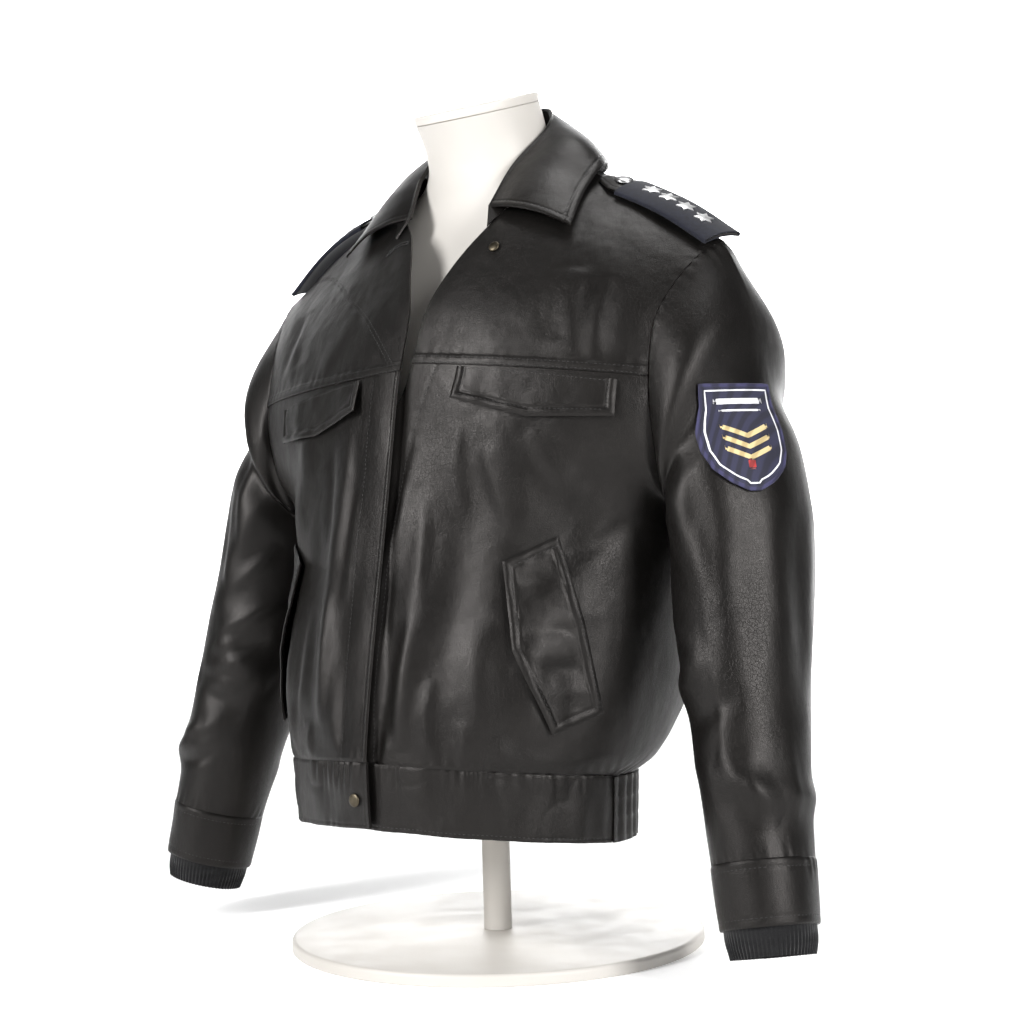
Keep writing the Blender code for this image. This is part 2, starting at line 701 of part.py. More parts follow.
def collar_sheets():
    """The stand, and the leaf that folds over it along the roll line."""
    seam, roll, edge = (collar_line(t) for t in (COLLAR_SEAM, COLLAR_ROLL, COLLAR_EDGE))
    stand = Sheet("collar_stand", "leather")
    stand.grid(np.stack([seam, (seam + roll) / 2, roll]))
    steps = np.linspace(0, 1, 6)[:, None, None]
    rows = roll + (edge - roll) * steps
    out = unit(np.cross(np.gradient(rows, axis=1), np.gradient(rows, axis=0)))
    rows = rows + out * COLLAR_CROWN * np.sin(math.pi * steps)
    leaf = Sheet("collar_leaf", "leather")
    leaf.grid(rows)
    return [stand, leaf]


def tree_of(items):
    """The joined surface of some objects, for laying other pieces on it."""
    points, faces = [], []
    for item in items:
        base = len(points)
        points += [v.co.copy() for v in item.data.vertices]
        faces += [[base + v for v in face.vertices] for face in item.data.polygons]
    return BVHTree.FromPolygons(points, faces)


def drop_on(tree, across, up, turn, side, lift):
    """Where a point of the upright plane lands on the surface, moved out by lift."""
    turn = math.radians(turn)
    away = Vector((side * math.sin(turn), -math.cos(turn), 0))
    place = Vector((side * math.cos(turn), math.sin(turn), 0)) * across
    place += Vector((0, 0, up)) + away
    hit, normal, _, _ = tree.ray_cast(place, -away)
    if normal.dot(away) < 0:
        normal = -normal
    return hit + (normal * 0.5 + away * 0.5).normalized() * lift


def between(line, share):
    """The point at a share of a broken line, its corners evenly numbered."""
    at = share * (len(line) - 1)
    k = min(int(at), len(line) - 2)
    return np.array(line[k]) + (np.array(line[k + 1]) - line[k]) * (at - k)


def flap(name, tree, first, second, turn, side, shift, counts):
    """A flap between two broken lines, laid on the surface with an even clearance."""
    rows = []
    for j in range(counts[1] + 1):
        row = []
        for i in range(counts[0] + 1):
            start, end = between(first, i / counts[0]), between(second, i / counts[0])
            across, up = start + (end - start) * j / counts[1]
            row.append(drop_on(tree, across + shift[0], up + shift[1], turn, side, LAY + FLAP))
        rows.append(row)
    sheet = Sheet(name, "leather", FLAP)
    return sheet.grid(np.array(rows), side == LEFT)


def patch_sheet(tree):
    """The shield-shaped cloth patch on the outside of the left sleeve."""
    outline = table(PATCH_OUTLINE)
    rows = []
    for down in np.linspace(0, 1, 11):
        half = np.interp(down, outline["down"], outline["half"])
        up = PATCH_MIDDLE[1] + PATCH_TALL * (0.5 - down)
        row = [drop_on(tree, PATCH_MIDDLE[0] + half * share, up, PATCH_TURN, LEFT,
                       1.8 * LAY + PATCH_THICK) for share in np.linspace(-1, 1, 9)]
        rows.append(row)
    sheet = Sheet("sleeve_patch", "patch", PATCH_THICK)
    return sheet.grid(np.array(rows), True)


def strap_at(share, side):
    """A place along a shoulder strap, its width's direction and its upper one."""
    rows = len(STRAP_LINE) - 2

    def place_at(share):
        rise = STRAP_RISE * math.sin(math.pi * share) * (side == RIGHT)
        return np.stack(list(read(STRAP_LINE, share * rows).values())) + (0, 0, rise)

    place, ahead, behind = (place_at(share + step) for step in (0, 0.015, -0.015))
    run = unit(ahead - behind)
    lean = math.radians(STRAP_LEAN)
    aft = np.array([0, math.cos(lean), math.sin(lean)])
    aft = unit(aft - run * (aft @ run))
    return place, aft, unit(np.cross(run, aft))


def strap_sheets():
    """Leather shoulder straps and the cloth slides round them."""
    sheets = []
    widths = np.linspace(-1, 1, 7)
    loop = np.concatenate([widths, widths[::-1]])
    level = np.concatenate([np.ones(7), -np.ones(7)]) * SLIDE_HALF
    for side in (LEFT, RIGHT):
        strap = Sheet(f"strap_{word(side)}", "leather", STRAP_THICK)
        rows = []
        for share in np.linspace(0, 1, 9):
            place, aft, up = strap_at(share, side)
            arch = STRAP_ARCH * (0.5 - widths**2)
            half = STRAP_WIDE / 2 * min(1, 0.55 + 3 * share)
            rows.append(place + np.outer(widths * half, aft) + np.outer(arch, up))
        sheets.append(strap.grid(np.array(rows) * (side, 1, 1), side == LEFT))
        slide = Sheet(f"rank_slide_{word(side)}", "slide", SLIDE_WALL)
        rows = []
        for share in np.linspace(SLIDE_FROM, SLIDE_TO, 7):
            place, aft, up = strap_at(share, side)
            bowed = 0.5 - (loop * SLIDE_WIDE / STRAP_WIDE) ** 2
            arch = STRAP_ARCH * bowed - STRAP_THICK / 2 + level
            rows.append(place + np.outer(loop * SLIDE_WIDE / 2, aft) + np.outer(arch, up))
        sheets.append(slide.grid(np.array(rows) * (side, 1, 1), side == LEFT, ring=True))
    return sheets


def turned(name, profile, place, axis, material, sides=20):
    """A closed round piece from a profile of radius and height along its axis."""
    axis = Vector(axis).normalized()
    swing = Vector((0, 0, 1)).rotation_difference(axis)
    points, faces = [], []
    for radius, height in profile:
        for k in range(sides):
            a = 2 * math.pi * k / sides
            local = Vector((radius * math.cos(a), radius * math.sin(a), height))
            points.append(swing @ local + Vector(place))
    for i in range(len(profile) - 1):
        for k in range(sides):
            n = (k + 1) % sides
            faces.append([i * sides + k, i * sides + n, (i + 1) * sides + n, (i + 1) * sides + k])
    faces.append(list(range(sides))[::-1])
    faces.append([(len(profile) - 1) * sides + k for k in range(sides)])
    return solid(name, points, faces, material)


def dome(radius, high):
    return ((radius, 0), (radius, high * 0.4), (radius * 0.8, high * 0.8), (radius * 0.4, high))


def fasteners(tree):
    """Shoulder buttons, the neck button and the waistband's snap."""
    for side in (LEFT, RIGHT):
        place, _, up = strap_at(BUTTON_AT, side)
        place = place + up * (STRAP_ARCH / 2 + SEAM)
        turned(f"strap_button_{word(side)}", dome(BUTTON_RADIUS, BUTTON_HIGH),
               place * (side, 1, 1), up * (side, 1, 1), "silver")
    across, up, radius = NECK_BUTTON
    place = drop_on(tree, across, up, 10, LEFT, LAY)
    turned("neck_button", dome(radius, 0.0025), place, (0.15, -0.85, 0.5), "bronze", 14)
    place = drop_on(tree, 0, SNAP_AT, 0, RIGHT, LAY)
    turned("band_snap", dome(SNAP_RADIUS, SNAP_HIGH), place, (0, -1, 0), "bronze", 16)


def dress_form():
    """The form that the garment rests on, its neck cap, its pole and its base."""
    angles = np.linspace(0, 2 * math.pi, FORM_SIDES, endpoint=False)
    count = len(FORM) - 1
    at = np.linspace(0, count - 1, 17)
    rings = read(FORM, at)
    across = rings["across"][:, None] * np.cos(angles)
    deep = rings["y"][:, None] + rings["deep"][:, None] * np.sin(angles)
    points = np.stack([across, deep, np.repeat(rings["z"][:, None], FORM_SIDES, 1)], -1)
    slant = math.tan(math.radians(NECK_TILT))
    rise = np.clip((points[..., 2] - NECK_FROM) / (FORM[-1][0] - NECK_FROM), 0, 1)
    points[..., 2] += rise * (points[..., 1] - FORM[-1][1]) * slant
    faces = []
    rows = len(points)
    for i in range(rows - 1):
        for j in range(FORM_SIDES):
            k = (j + 1) % FORM_SIDES
            low, high = i * FORM_SIDES, (i + 1) * FORM_SIDES
            faces.append([low + j, low + k, high + k, high + j])
    faces.append(list(range(FORM_SIDES))[::-1])
    faces.append([(rows - 1) * FORM_SIDES + j for j in range(FORM_SIDES)])
    solid("form_body", points.reshape(-1, 3), faces, "form")
    tilt = math.radians(NECK_TILT)
    top = Vector((0, FORM[-1][1], FORM[-1][0] + SEAM))
    radius = FORM[-1][2] + 0.0015
    turned("form_cap", ((radius - 0.001, 0), (radius, 0.001), (radius, CAP_HIGH - 0.002),
                        (radius - 0.003, CAP_HIGH)),
           top, (0, -math.sin(tilt), math.cos(tilt)), "form", FORM_SIDES)
    pole_top = FORM[1][0] - SEAM
    turned("stand_pole", ((POLE_RADIUS, BASE_HIGH + SEAM), (POLE_RADIUS, pole_top)),
           (0, 0, 0), (0, 0, 1), "form", 20)
    turned("stand_base", ((BASE_RADIUS - BASE_EDGE / 2, 0), (BASE_RADIUS, BASE_EDGE / 2),
                          (BASE_RADIUS, BASE_HIGH - BASE_EDGE),
                          (BASE_RADIUS - BASE_EDGE, BASE_HIGH)),
           (0, 0, 0), (0, 0, 1), "form", 48)


def main():
    for item in list(bpy.data.objects):
        bpy.data.objects.remove(item, do_unlink=True)
    fronts, elastic = band_sheets()
    sewn = body_sheets() + arm_sheets() + fronts
    shared = share_seams(sewn)
    made = {sheet.name: wall(sheet, shared) for sheet in sewn}
    collar = collar_sheets()
    along_roll = share_seams(collar)
    for sheet in collar:
        made[sheet.name] = wall(sheet, along_roll)
    for sheet in knit_sheets() + [elastic] + strap_sheets():
        made[sheet.name] = wall(sheet, {})
    for side in (LEFT, RIGHT):
        share = int(side == RIGHT)
        carriers = [made[f"{part}_{word(side)}"] for part in ("front", "yoke")]
        tree = tree_of(carriers)
        chest = flap(f"chest_flap_{word(side)}", tree, CHEST_TOP, CHEST_LOW, CHEST_TURN,
                     side, [share * s for s in CHEST_SHIFT], (8, 3))
        pocket = flap(f"pocket_flap_{word(side)}", tree, POCKET_NEAR, POCKET_FAR,
                      POCKET_TURN, side, [share * s for s in POCKET_SHIFT], (10, 6))
        for sheet in (chest, pocket):
            wall(sheet, {})
    wall(patch_sheet(tree_of([made["sleeve_left"]])), {})
    fasteners(tree_of([made["yoke_left"], made["band_right"]]))
    dress_form()


main()
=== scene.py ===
"""Looks of the leather police blouson on its dress form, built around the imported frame.

Metres, +Z up, front towards -Y, the wearer's left side towards +X. The tables of sections
are those of the CAD source; here each surface is read from them finely, with its creases,
sewing, trim and materials.
"""

import math

import bpy
import numpy as np
from mathutils import Matrix, Vector
from mathutils.bvhtree import BVHTree


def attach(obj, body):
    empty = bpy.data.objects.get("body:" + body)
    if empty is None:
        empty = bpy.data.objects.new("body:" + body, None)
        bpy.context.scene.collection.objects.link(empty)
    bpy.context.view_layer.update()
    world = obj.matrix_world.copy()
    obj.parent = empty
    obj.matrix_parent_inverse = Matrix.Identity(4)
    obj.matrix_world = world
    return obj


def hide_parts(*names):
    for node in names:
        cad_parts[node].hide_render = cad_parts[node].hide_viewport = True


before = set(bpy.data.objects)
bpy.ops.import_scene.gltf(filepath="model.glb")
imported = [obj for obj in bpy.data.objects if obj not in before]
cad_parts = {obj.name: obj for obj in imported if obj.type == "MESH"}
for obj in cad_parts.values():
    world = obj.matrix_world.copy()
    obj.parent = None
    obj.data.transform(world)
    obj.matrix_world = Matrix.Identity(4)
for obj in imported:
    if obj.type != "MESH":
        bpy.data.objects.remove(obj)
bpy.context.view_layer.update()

# Cloth and seams
WALL = 0.0020          # leather with its lining
SEAM = 0.0003          # gap between two pieces at a seam
LAY = 0.0012           # clearance under a piece that lies on another
FLAP = 0.0018          # a pocket flap's thickness
THIN_WALL = 0.0022     # rib knit and gathered elastic
BAND_WALL = 0.0030     # waistband, two layers
LEFT, RIGHT = 1, -1    # the wearer's sides, as the sign of x

# Rows of a panel, counted from the waistband seam up
ARMPIT, YOKE, SHOULDER = 5, 8, 13

# The front's outer end: side seam up to the armpit, then the armhole up to the shoulder.
# lead and trail are the lengths of the curve's handles, turn its heading at the side,
# bow how far the handles are raised.
FRONT_SIDE = (
    "x y z lead trail turn bow",
    (0.1815, -0.045, 0.1800, 0.105, 0.088, 90, 0.003),
    (0.1930, -0.035, 0.2000, 0.115, 0.092, 90, 0),
    (0.2060, -0.020, 0.2500, 0.125, 0.098, 90, 0),
    (0.2140, -0.005, 0.3150, 0.128, 0.098, 90, 0),
    (0.2220, 0.008, 0.3720, 0.128, 0.092, 88, 0),
    (0.2320, 0.020, 0.4150, 0.125, 0.084, 86, 0),
    (0.2405, -0.036, 0.4500, 0.115, 0.062, 66, 0),
    (0.2450, -0.057, 0.5020, 0.105, 0.058, 48, 0),
    (0.2450, -0.060, 0.5450, 0.095, 0.060, 38, 0),
    (0.2450, -0.050, 0.5920, 0.080, 0.060, 34, 0),
    (0.2515, -0.034, 0.6220, 0.070, 0.060, 28, 0),
    (0.2620, -0.010, 0.6500, 0.060, 0.060, 18, 0.003),
    (0.2680, 0.011, 0.6640, 0.060, 0.060, 8, 0.006),
    (0.2720, 0.030, 0.6710, 0.060, 0.060, 0, 0.008),
)
# The free front edges, in each side's own x: below zero is past the middle.
LEFT_EDGE = (
    "x y z",
    (-0.014, -0.1940, 0.2000),
    (-0.014, -0.1918, 0.2200),
    (-0.014, -0.1870, 0.2600),
    (-0.014, -0.1770, 0.3200),
    (-0.013, -0.1650, 0.3800),
    (-0.010, -0.1540, 0.4400),
    (-0.001, -0.1465, 0.4900),
    (0.014, -0.1410, 0.5350),
    (0.029, -0.1360, 0.5690),
    (0.036, -0.1210, 0.6200),
    (0.050, -0.0985, 0.6600),
    (0.069, -0.0700, 0.6970),
    (0.083, -0.0220, 0.7370),
    (0.085, 0.0300, 0.7720),
)
RIGHT_EDGE = (
    "x y z",
    (-0.016, -0.2010, 0.2010),
    (-0.016, -0.1990, 0.2200),
    (-0.016, -0.1935, 0.2600),
    (-0.016, -0.1835, 0.3200),
    (-0.016, -0.1715, 0.3800),
    (-0.016, -0.1605, 0.4400),
    (-0.017, -0.1535, 0.4900),
    (-0.019, -0.1480, 0.5350),
    (-0.020, -0.1430, 0.5620),
    (-0.020, -0.1275, 0.6150),
    (-0.002, -0.1045, 0.6550),
    (0.022, -0.0740, 0.6970),
    (0.074, -0.0240, 0.7370),
    (0.085, 0.0300, 0.7720),
)
# The back has one row more, for the neckline between its middle and the shoulder seam.
BACK_SIDE = (
    "x y z lead trail turn bow",
    (0.1815, -0.045, 0.1800, 0.100, 0.082, -90, 0),
    (0.1930, -0.035, 0.2000, 0.115, 0.098, -90, 0),
    (0.2060, -0.020, 0.2500, 0.130, 0.112, -90, 0),
    (0.2140, -0.005, 0.3150, 0.130, 0.105, -90, 0),
    (0.2220, 0.008, 0.3720, 0.130, 0.092, -88, 0),
    (0.2320, 0.020, 0.4150, 0.130, 0.082, -86, 0),
    (0.2430, 0.070, 0.4450, 0.120, 0.060, -66, 0),
    (0.2490, 0.105, 0.4850, 0.105, 0.055, -40, 0),
    (0.2510, 0.121, 0.5250, 0.095, 0.055, -26, 0),
    (0.2510, 0.125, 0.5650, 0.090, 0.055, -18, 0),
    (0.2520, 0.118, 0.6000, 0.085, 0.055, -14, 0),
    (0.2560, 0.100, 0.6280, 0.080, 0.055, -12, 0),
    (0.2620, 0.075, 0.6480, 0.080, 0.055, -8, 0.003),
    (0.2680, 0.052, 0.6630, 0.070, 0.055, -4, 0.006),
    (0.2720, 0.030, 0.6710, 0.060, 0.060, 0, 0.008),
)
BACK_MIDDLE = (
    "x y z",
    (0, 0.0930, 0.1740),
    (0, 0.1280, 0.1880),
    (0, 0.1660, 0.2380),
    (0, 0.1660, 0.3100),
    (0, 0.1580, 0.3700),
    (0, 0.1530, 0.4300),
    (0, 0.1510, 0.4800),
    (0, 0.1500, 0.5300),
    (0, 0.1490, 0.5800),
    (0, 0.1450, 0.6300),
    (0, 0.1340, 0.6800),
    (0, 0.1160, 0.7380),
    (0, 0.0900, 0.7930),
    (0.048, 0.0820, 0.7890),
    (0.085, 0.0300, 0.7720),
)
# Sleeve rings under the armhole: centre, lean of the ring about Y (tilt) and about X
# (pitch), and its half widths across and fore-and-aft.
SLEEVE = (
    "x y z tilt pitch across deep",
    (0.2680, 0.027, 0.5080, 70.3, 0, 0.1045, 0.0940),
    (0.2710, 0.0245, 0.4760, 58.5, 0, 0.0750, 0.0780),
    (0.2830, 0.018, 0.4450, 42.0, 0, 0.0680, 0.0820),
    (0.2930, 0.012, 0.4050, 21.0, 0, 0.0625, 0.0780),
    (0.2990, 0.003, 0.3600, 11.0, 1, 0.0610, 0.0740),
    (0.3070, -0.009, 0.3120, 9.5, 4, 0.0590, 0.0700),
    (0.3180, -0.023, 0.2580, 10.0, 7, 0.0530, 0.0635),
    (0.3290, -0.036, 0.2040, 11.0, 9, 0.0490, 0.0570),
    (0.3390, -0.046, 0.1540, 11.5, 9, 0.0460, 0.0520),
    (0.3470, -0.053, 0.1160, 11.5, 9, 0.0445, 0.0490),
)
SLEEVE_RADIUS = 0.068  # its mean radius, for drawing folds on it
CUFF_SWELL = 0.0012    # how far the cuff stands out past the sleeve's end
KNIT_ROOM = 0.0006     # gap between the knit and the cuff round it
CUFF_END = (0.3570, -0.0610, 0.0610, 11.5, 9, 0.0425, 0.0450)
KNIT_MOUTH = (0.3595, -0.0625, 0.0480, 11.5, 9, 0.0390, 0.0415)
KNIT_END = (0.3610, -0.0640, 0.0370, 11.5, 9, 0.0365, 0.0390)
KNIT_UP = 0.35         # how far up the cuff the knit starts, as a share of the cuff

# Waistband, under the panels' lowest row; its back is gathered on elastic
BAND_HIGH, BAND_TUCK = 0.0620, 0.985
BAND_MIDDLE = np.array([0, -0.054, 0])
BAND_SWELL = 0.004
ELASTIC_BUMPS, ELASTIC_BUMP = 9, 0.0024
ELASTIC_DROP = 0.0008

# Collar: three lines from the middle of the back round to the front
COLLAR_SEAM = (
    "x y z",
    (0.000, 0.0900, 0.7939),
    (0.048, 0.0820, 0.7899),
    (0.085, 0.0300, 0.7735),
    (0.0835, -0.0215, 0.7382),
    (0.0700, -0.0690, 0.6986),
)
COLLAR_ROLL = (
    "x y z",
    (0.000, 0.0800, 0.8400),
    (0.042, 0.0680, 0.8330),
    (0.0655, 0.0300, 0.8050),
    (0.0620, -0.0180, 0.7640),
    (0.0620, -0.0560, 0.7200),
)
COLLAR_EDGE = (
    "x y z",
    (0.000, 0.1300, 0.7720),
    (0.075, 0.1140, 0.7700),
    (0.1310, 0.0420, 0.7650),
    (0.1420, -0.0060, 0.7330),
    (0.1570, -0.0520, 0.6920),
)
COLLAR_SHIFT = (0, 0, 0.000, 0.005, 0.024)  # the right half is further over by this,
COLLAR_LIFT = (0, 0, 0.0003, 0.0012, 0.0012)  # and higher by this
COLLAR_CROWN = 0.008   # how far the leaf bows out between its roll and its edge

# Flaps, drawn on an upright plane turned to the side: distance across it, and height
CHEST_TURN, POCKET_TURN = 20, 40
CHEST_TOP = ((0.0330, 0.5625), (0.1080, 0.5545), (0.1840, 0.5425))
CHEST_LOW = ((0.0280, 0.5330), (0.1010, 0.5130), (0.1810, 0.5100))
CHEST_SHIFT = (-0.051, -0.006)  # the right front hangs further over and lower
POCKET_FAR = ((0.0140, 0.3817), (0.0206, 0.3012), (0.0533, 0.2246))
POCKET_NEAR = ((0.0655, 0.4035), (0.0865, 0.3250), (0.1015, 0.2415))
POCKET_SHIFT = (-0.010, 0)
FLAPS = (
    "node top low turn shift columns rows corner_x corner_z high reach off width length",
    ("chest_flap", CHEST_TOP, CHEST_LOW, CHEST_TURN, CHEST_SHIFT, 120, 34,
     *CHEST_LOW[0], 0.0045, 0.022, 0.0022, 0.165, 0.045),
    ("pocket_flap", POCKET_NEAR, POCKET_FAR, POCKET_TURN, POCKET_SHIFT, 110, 46,
     *POCKET_FAR[1], 0.0020, 0.030, 0.0040, 0.165, 0.065),
)
# Dents of the pocket flap: place on the plane, half width and height
POCKET_DENTS = (
    (0.060, 0.318, 0.007, -0.0016),
    (0.050, 0.298, 0.008, 0.0012),
    (0.062, 0.283, 0.006, -0.0014),
    (0.052, 0.345, 0.009, 0.0010),
    (0.070, 0.262, 0.008, 0.0012),
    (0.045, 0.362, 0.006, -0.0010),
)

# Shoulder strap and the cloth slide on it, along the shoulder seam
STRAP_LINE = (
    "x y z",
    (0.1400, 0.0300, 0.7481),
    (0.1820, 0.0290, 0.7306),
    (0.2270, 0.0275, 0.7076),
    (0.2740, 0.0260, 0.6761),
)
STRAP_WIDE, STRAP_THICK, STRAP_ARCH = 0.042, 0.0015, 0.0030
STRAP_LEAN = 18        # degrees that its front edge hangs down
STRAP_RISE = 0.008     # how far the right one arches up off the shoulder
SLIDE_FROM, SLIDE_TO = 0.24, 1.0
SLIDE_WIDE, SLIDE_WALL, SLIDE_HALF = 0.050, 0.0012, 0.0027
BUTTON_AT, BUTTON_RADIUS, BUTTON_HIGH = 0.17, 0.0090, 0.0040

# Sleeve patch: middle and turn of the plane that it is drawn on, and its outline
PATCH_TURN, PATCH_MIDDLE = 57, (0.1555, 0.4870)
PATCH_TALL, PATCH_THICK = 0.096, 0.0015
PATCH_OUTLINE = (
    "down half",
    (0.00, 0.0385),
    (0.20, 0.0365),
    (0.45, 0.0400),
    (0.65, 0.0400),
    (0.80, 0.0345),
    (0.92, 0.0215),
    (1.00, 0.0060),
)

NECK_BUTTON = (0.0740, 0.6760, 0.0055)
SNAP_AT = 0.165          # height of the snap on the waistband's front end
SNAP_RADIUS, SNAP_HIGH = 0.0062, 0.0022

# Dress form: height, middle, half widths across and fore-and-aft
FORM = (
    "z y across deep",
    (0.1500, -0.050, 0.1480, 0.1120),
    (0.2100, -0.048, 0.1560, 0.1180),
    (0.3000, -0.034, 0.1540, 0.1180),
    (0.4000, -0.012, 0.1640, 0.1200),
    (0.4900, 0.002, 0.1780, 0.1200),
    (0.5700, 0.012, 0.1880, 0.1120),
    (0.6300, 0.022, 0.1930, 0.0960),
    (0.6770, 0.030, 0.1830, 0.0760),
    (0.7100, 0.034, 0.1550, 0.0650),
    (0.7380, 0.034, 0.1120, 0.0600),
    (0.7640, 0.030, 0.0740, 0.0600),
    (0.7900, 0.022, 0.0640, 0.0610),
    (0.8270, 0.006, 0.0620, 0.0620),
)
NECK_TILT = 16         # the neck's top rises to the back, more and more from NECK_FROM up
NECK_FROM = 0.77
CAP_HIGH = 0.009
POLE_RADIUS = 0.014
BASE_RADIUS, BASE_HIGH, BASE_EDGE = 0.205, 0.012, 0.004

# Largest folds of the fronts: a line from one x, z to another in the side's own x,
# its half width and its height, which is negative for a trough
FRONT_FOLDS = (
    "x0 z0 x1 z1 wide high",
    (0.060, 0.500, 0.045, 0.210, 0.016, 0.0045),
    (0.095, 0.470, 0.085, 0.260, 0.020, -0.0040),
    (0.120, 0.520, 0.150, 0.400, 0.018, 0.0040),
    (0.200, 0.470, 0.130, 0.330, 0.020, -0.0045),
    (0.110, 0.330, 0.120, 0.205, 0.016, 0.0045),
    (0.030, 0.330, 0.020, 0.200, 0.012, -0.0030),
    (0.185, 0.640, 0.170, 0.580, 0.018, -0.0040),
)
BACK_FOLDS = (
    "x0 z0 x1 z1 wide high",
    (0.040, 0.420, 0.030, 0.200, 0.020, 0.0050),
    (0.090, 0.360, 0.100, 0.200, 0.018, -0.0045),
    (0.145, 0.420, 0.150, 0.220, 0.020, 0.0050),
    (0.210, 0.500, 0.140, 0.400, 0.020, -0.0050),
    (-0.050, 0.400, -0.070, 0.210, 0.020, -0.0045),
    (-0.120, 0.380, -0.110, 0.200, 0.019, 0.0050),
    (-0.205, 0.510, -0.150, 0.390, 0.020, -0.0050),
)
# Largest folds of a sleeve: angle from the underarm seam, height, as above
SLEEVE_FOLDS = (
    "a0 z0 a1 z1 wide high",
    (60, 0.470, 110, 0.330, 0.018, 0.0050),
    (95, 0.300, 20, 0.250, 0.014, 0.0055),
    (120, 0.265, 40, 0.225, 0.013, -0.0050),
    (250, 0.320, 320, 0.270, 0.015, 0.0045),
    (170, 0.420, 200, 0.240, 0.022, -0.0035),
    (300, 0.460, 260, 0.360, 0.018, -0.0050),
    (90, 0.215, 150, 0.160, 0.013, 0.0040),
    (30, 0.200, 330, 0.150, 0.013, 0.0040),
)


def table(named_rows):
    """The columns of a table by name."""
    names, rows = named_rows[0].split(), np.array(named_rows[1:], float)
    return {name: rows[:, k] for k, name in enumerate(names)}


def smooth(values, at):
    """A column read between its rows, on a curve through them."""
    at = np.clip(np.asarray(at, float), 0, len(values) - 1)
    row = np.minimum(at.astype(int), len(values) - 2)
    part = at - row
    ends = [2 * values[0] - values[1]], [2 * values[-1] - values[-2]]
    padded = np.concatenate([ends[0], values, ends[1]])
    a, b, c, d = (padded[row + k] for k in range(4))
    curve = part * (3 * (b - c) + d - a) + 2 * a - 5 * b + 4 * c - d
    return b + 0.5 * part * (c - a + part * curve)


def read(named_rows, at, corner=0):
    """Every column of a table at some row numbers, with a corner at one row."""
    found = {}
    for name, values in table(named_rows).items():
        above = smooth(values[corner:], np.asarray(at) - corner)
        below = smooth(values[:corner + 1], at) if corner else above
        found[name] = np.where(np.asarray(at) < corner, below, above)
    return found


def unit(vectors):
    return vectors / np.maximum(np.linalg.norm(vectors, axis=-1, keepdims=True), 1e-9)


def fold_height(across, up, named_rows):
    """How far soft folds lift the points, seen on a flat drawing of the panel."""
    lift = np.zeros(np.broadcast(across, up).shape)
    columns = table(named_rows)
    start0, low0, start1, low1, wide, high = columns.values()
    for k in range(len(wide)):
        run = np.array([start1[k] - start0[k], low1[k] - low0[k]])
        length = run @ run
        along = ((across - start0[k]) * run[0] + (up - low0[k]) * run[1]) / length
        held = np.clip(along, 0, 1)
        off = np.hypot(across - start0[k] - held * run[0], up - low0[k] - held * run[1])
        fade = np.sin(math.pi * held) ** 0.7
        lift += high[k] * fade * np.exp(-((off / wide[k]) ** 2))
    return lift


def panel(inner, outer, rows, columns):
    """Points of a half panel: a curve on each row, from its inner to its outer end."""
    start, end = read(inner, rows), read(outer, rows, ARMPIT)
    turn = np.radians(end["turn"])
    lead, trail = end["lead"], end["trail"]
    x = (start["x"], start["x"] + lead, end["x"] - trail * np.cos(turn), end["x"])
    y = (start["y"], start["y"], end["y"] - trail * np.sin(turn), end["y"])
    third = (end["z"] - start["z"]) / 3
    bow = end["bow"]
    z = (start["z"], start["z"] + third + bow, end["z"] - third + bow, end["z"])
    u = columns
    weights = ((1 - u) ** 3, 3 * u * (1 - u) ** 2, 3 * u * u * (1 - u), u**3)
    points = [sum(w * v for w, v in zip(weights, value)) for value in (x, y, z)]
    return np.stack(points, axis=-1)


PANELS = {
    "front left": (LEFT_EDGE, FRONT_SIDE, FRONT_FOLDS),
    "front right": (RIGHT_EDGE, FRONT_SIDE, FRONT_FOLDS),
    "back": (BACK_MIDDLE, BACK_SIDE, BACK_FOLDS),
}


def around(front, back):
    """The angle of each armhole point: 0 at the armpit, half a turn at the shoulder."""
    angles = []
    for half, start in ((front, 0), (back, math.pi)):
        steps = np.linalg.norm(np.diff(half, axis=0), axis=1)
        angles.append(start + math.pi * np.concatenate([[0], np.cumsum(steps)]) / steps.sum())
    return np.concatenate([angles[0], angles[1][1:-1]])


def ring(row, angles, side):
    """One oval ring of the sleeve, its points at the armhole's angles."""
    x, y, z, tilt, pitch, across, deep = row
    tilt, pitch = math.radians(tilt), math.radians(pitch)
    out = np.array([math.cos(tilt), 0, math.sin(tilt)])
    aft = np.array([0, math.cos(pitch), -math.sin(pitch)])
    steps = -across * np.cos(angles)[:, None] * out - deep * np.sin(angles)[:, None] * aft
    return (np.array([x, y, z]) + steps) * (side, 1, 1)


def fold_on_sleeve(angles, heights):
    """Folds drawn on the sleeve laid flat, with its underarm seam at both ends."""
    radius = SLEEVE_RADIUS
    flat = [(math.radians(a0) * radius, z0, math.radians(a1) * radius, z1, w, h)
            for a0, z0, a1, z1, w, h in SLEEVE_FOLDS[1:]]
    turn = 2 * math.pi * radius
    lift = np.zeros(heights.shape)
    for shift in (-turn, 0, turn):
        lift = lift + fold_height((angles * radius)[None, :] + shift, heights,
                                  (SLEEVE_FOLDS[0], *flat))
    return lift


def word(side):
    return "left" if side == LEFT else "right"


def band_rows(top, drops, swell=0.0):
    """The panels' lowest row, repeated further down and drawn in a little."""
    rows = []
    for drop in drops:
        size = 1 - (1 - BAND_TUCK) * drop + swell * math.sin(math.pi * drop)
        row = BAND_MIDDLE + (top - BAND_MIDDLE) * (size, size, 1)
        rows.append(row - np.array([0, 0, BAND_HIGH * drop]))
    return np.stack(rows)


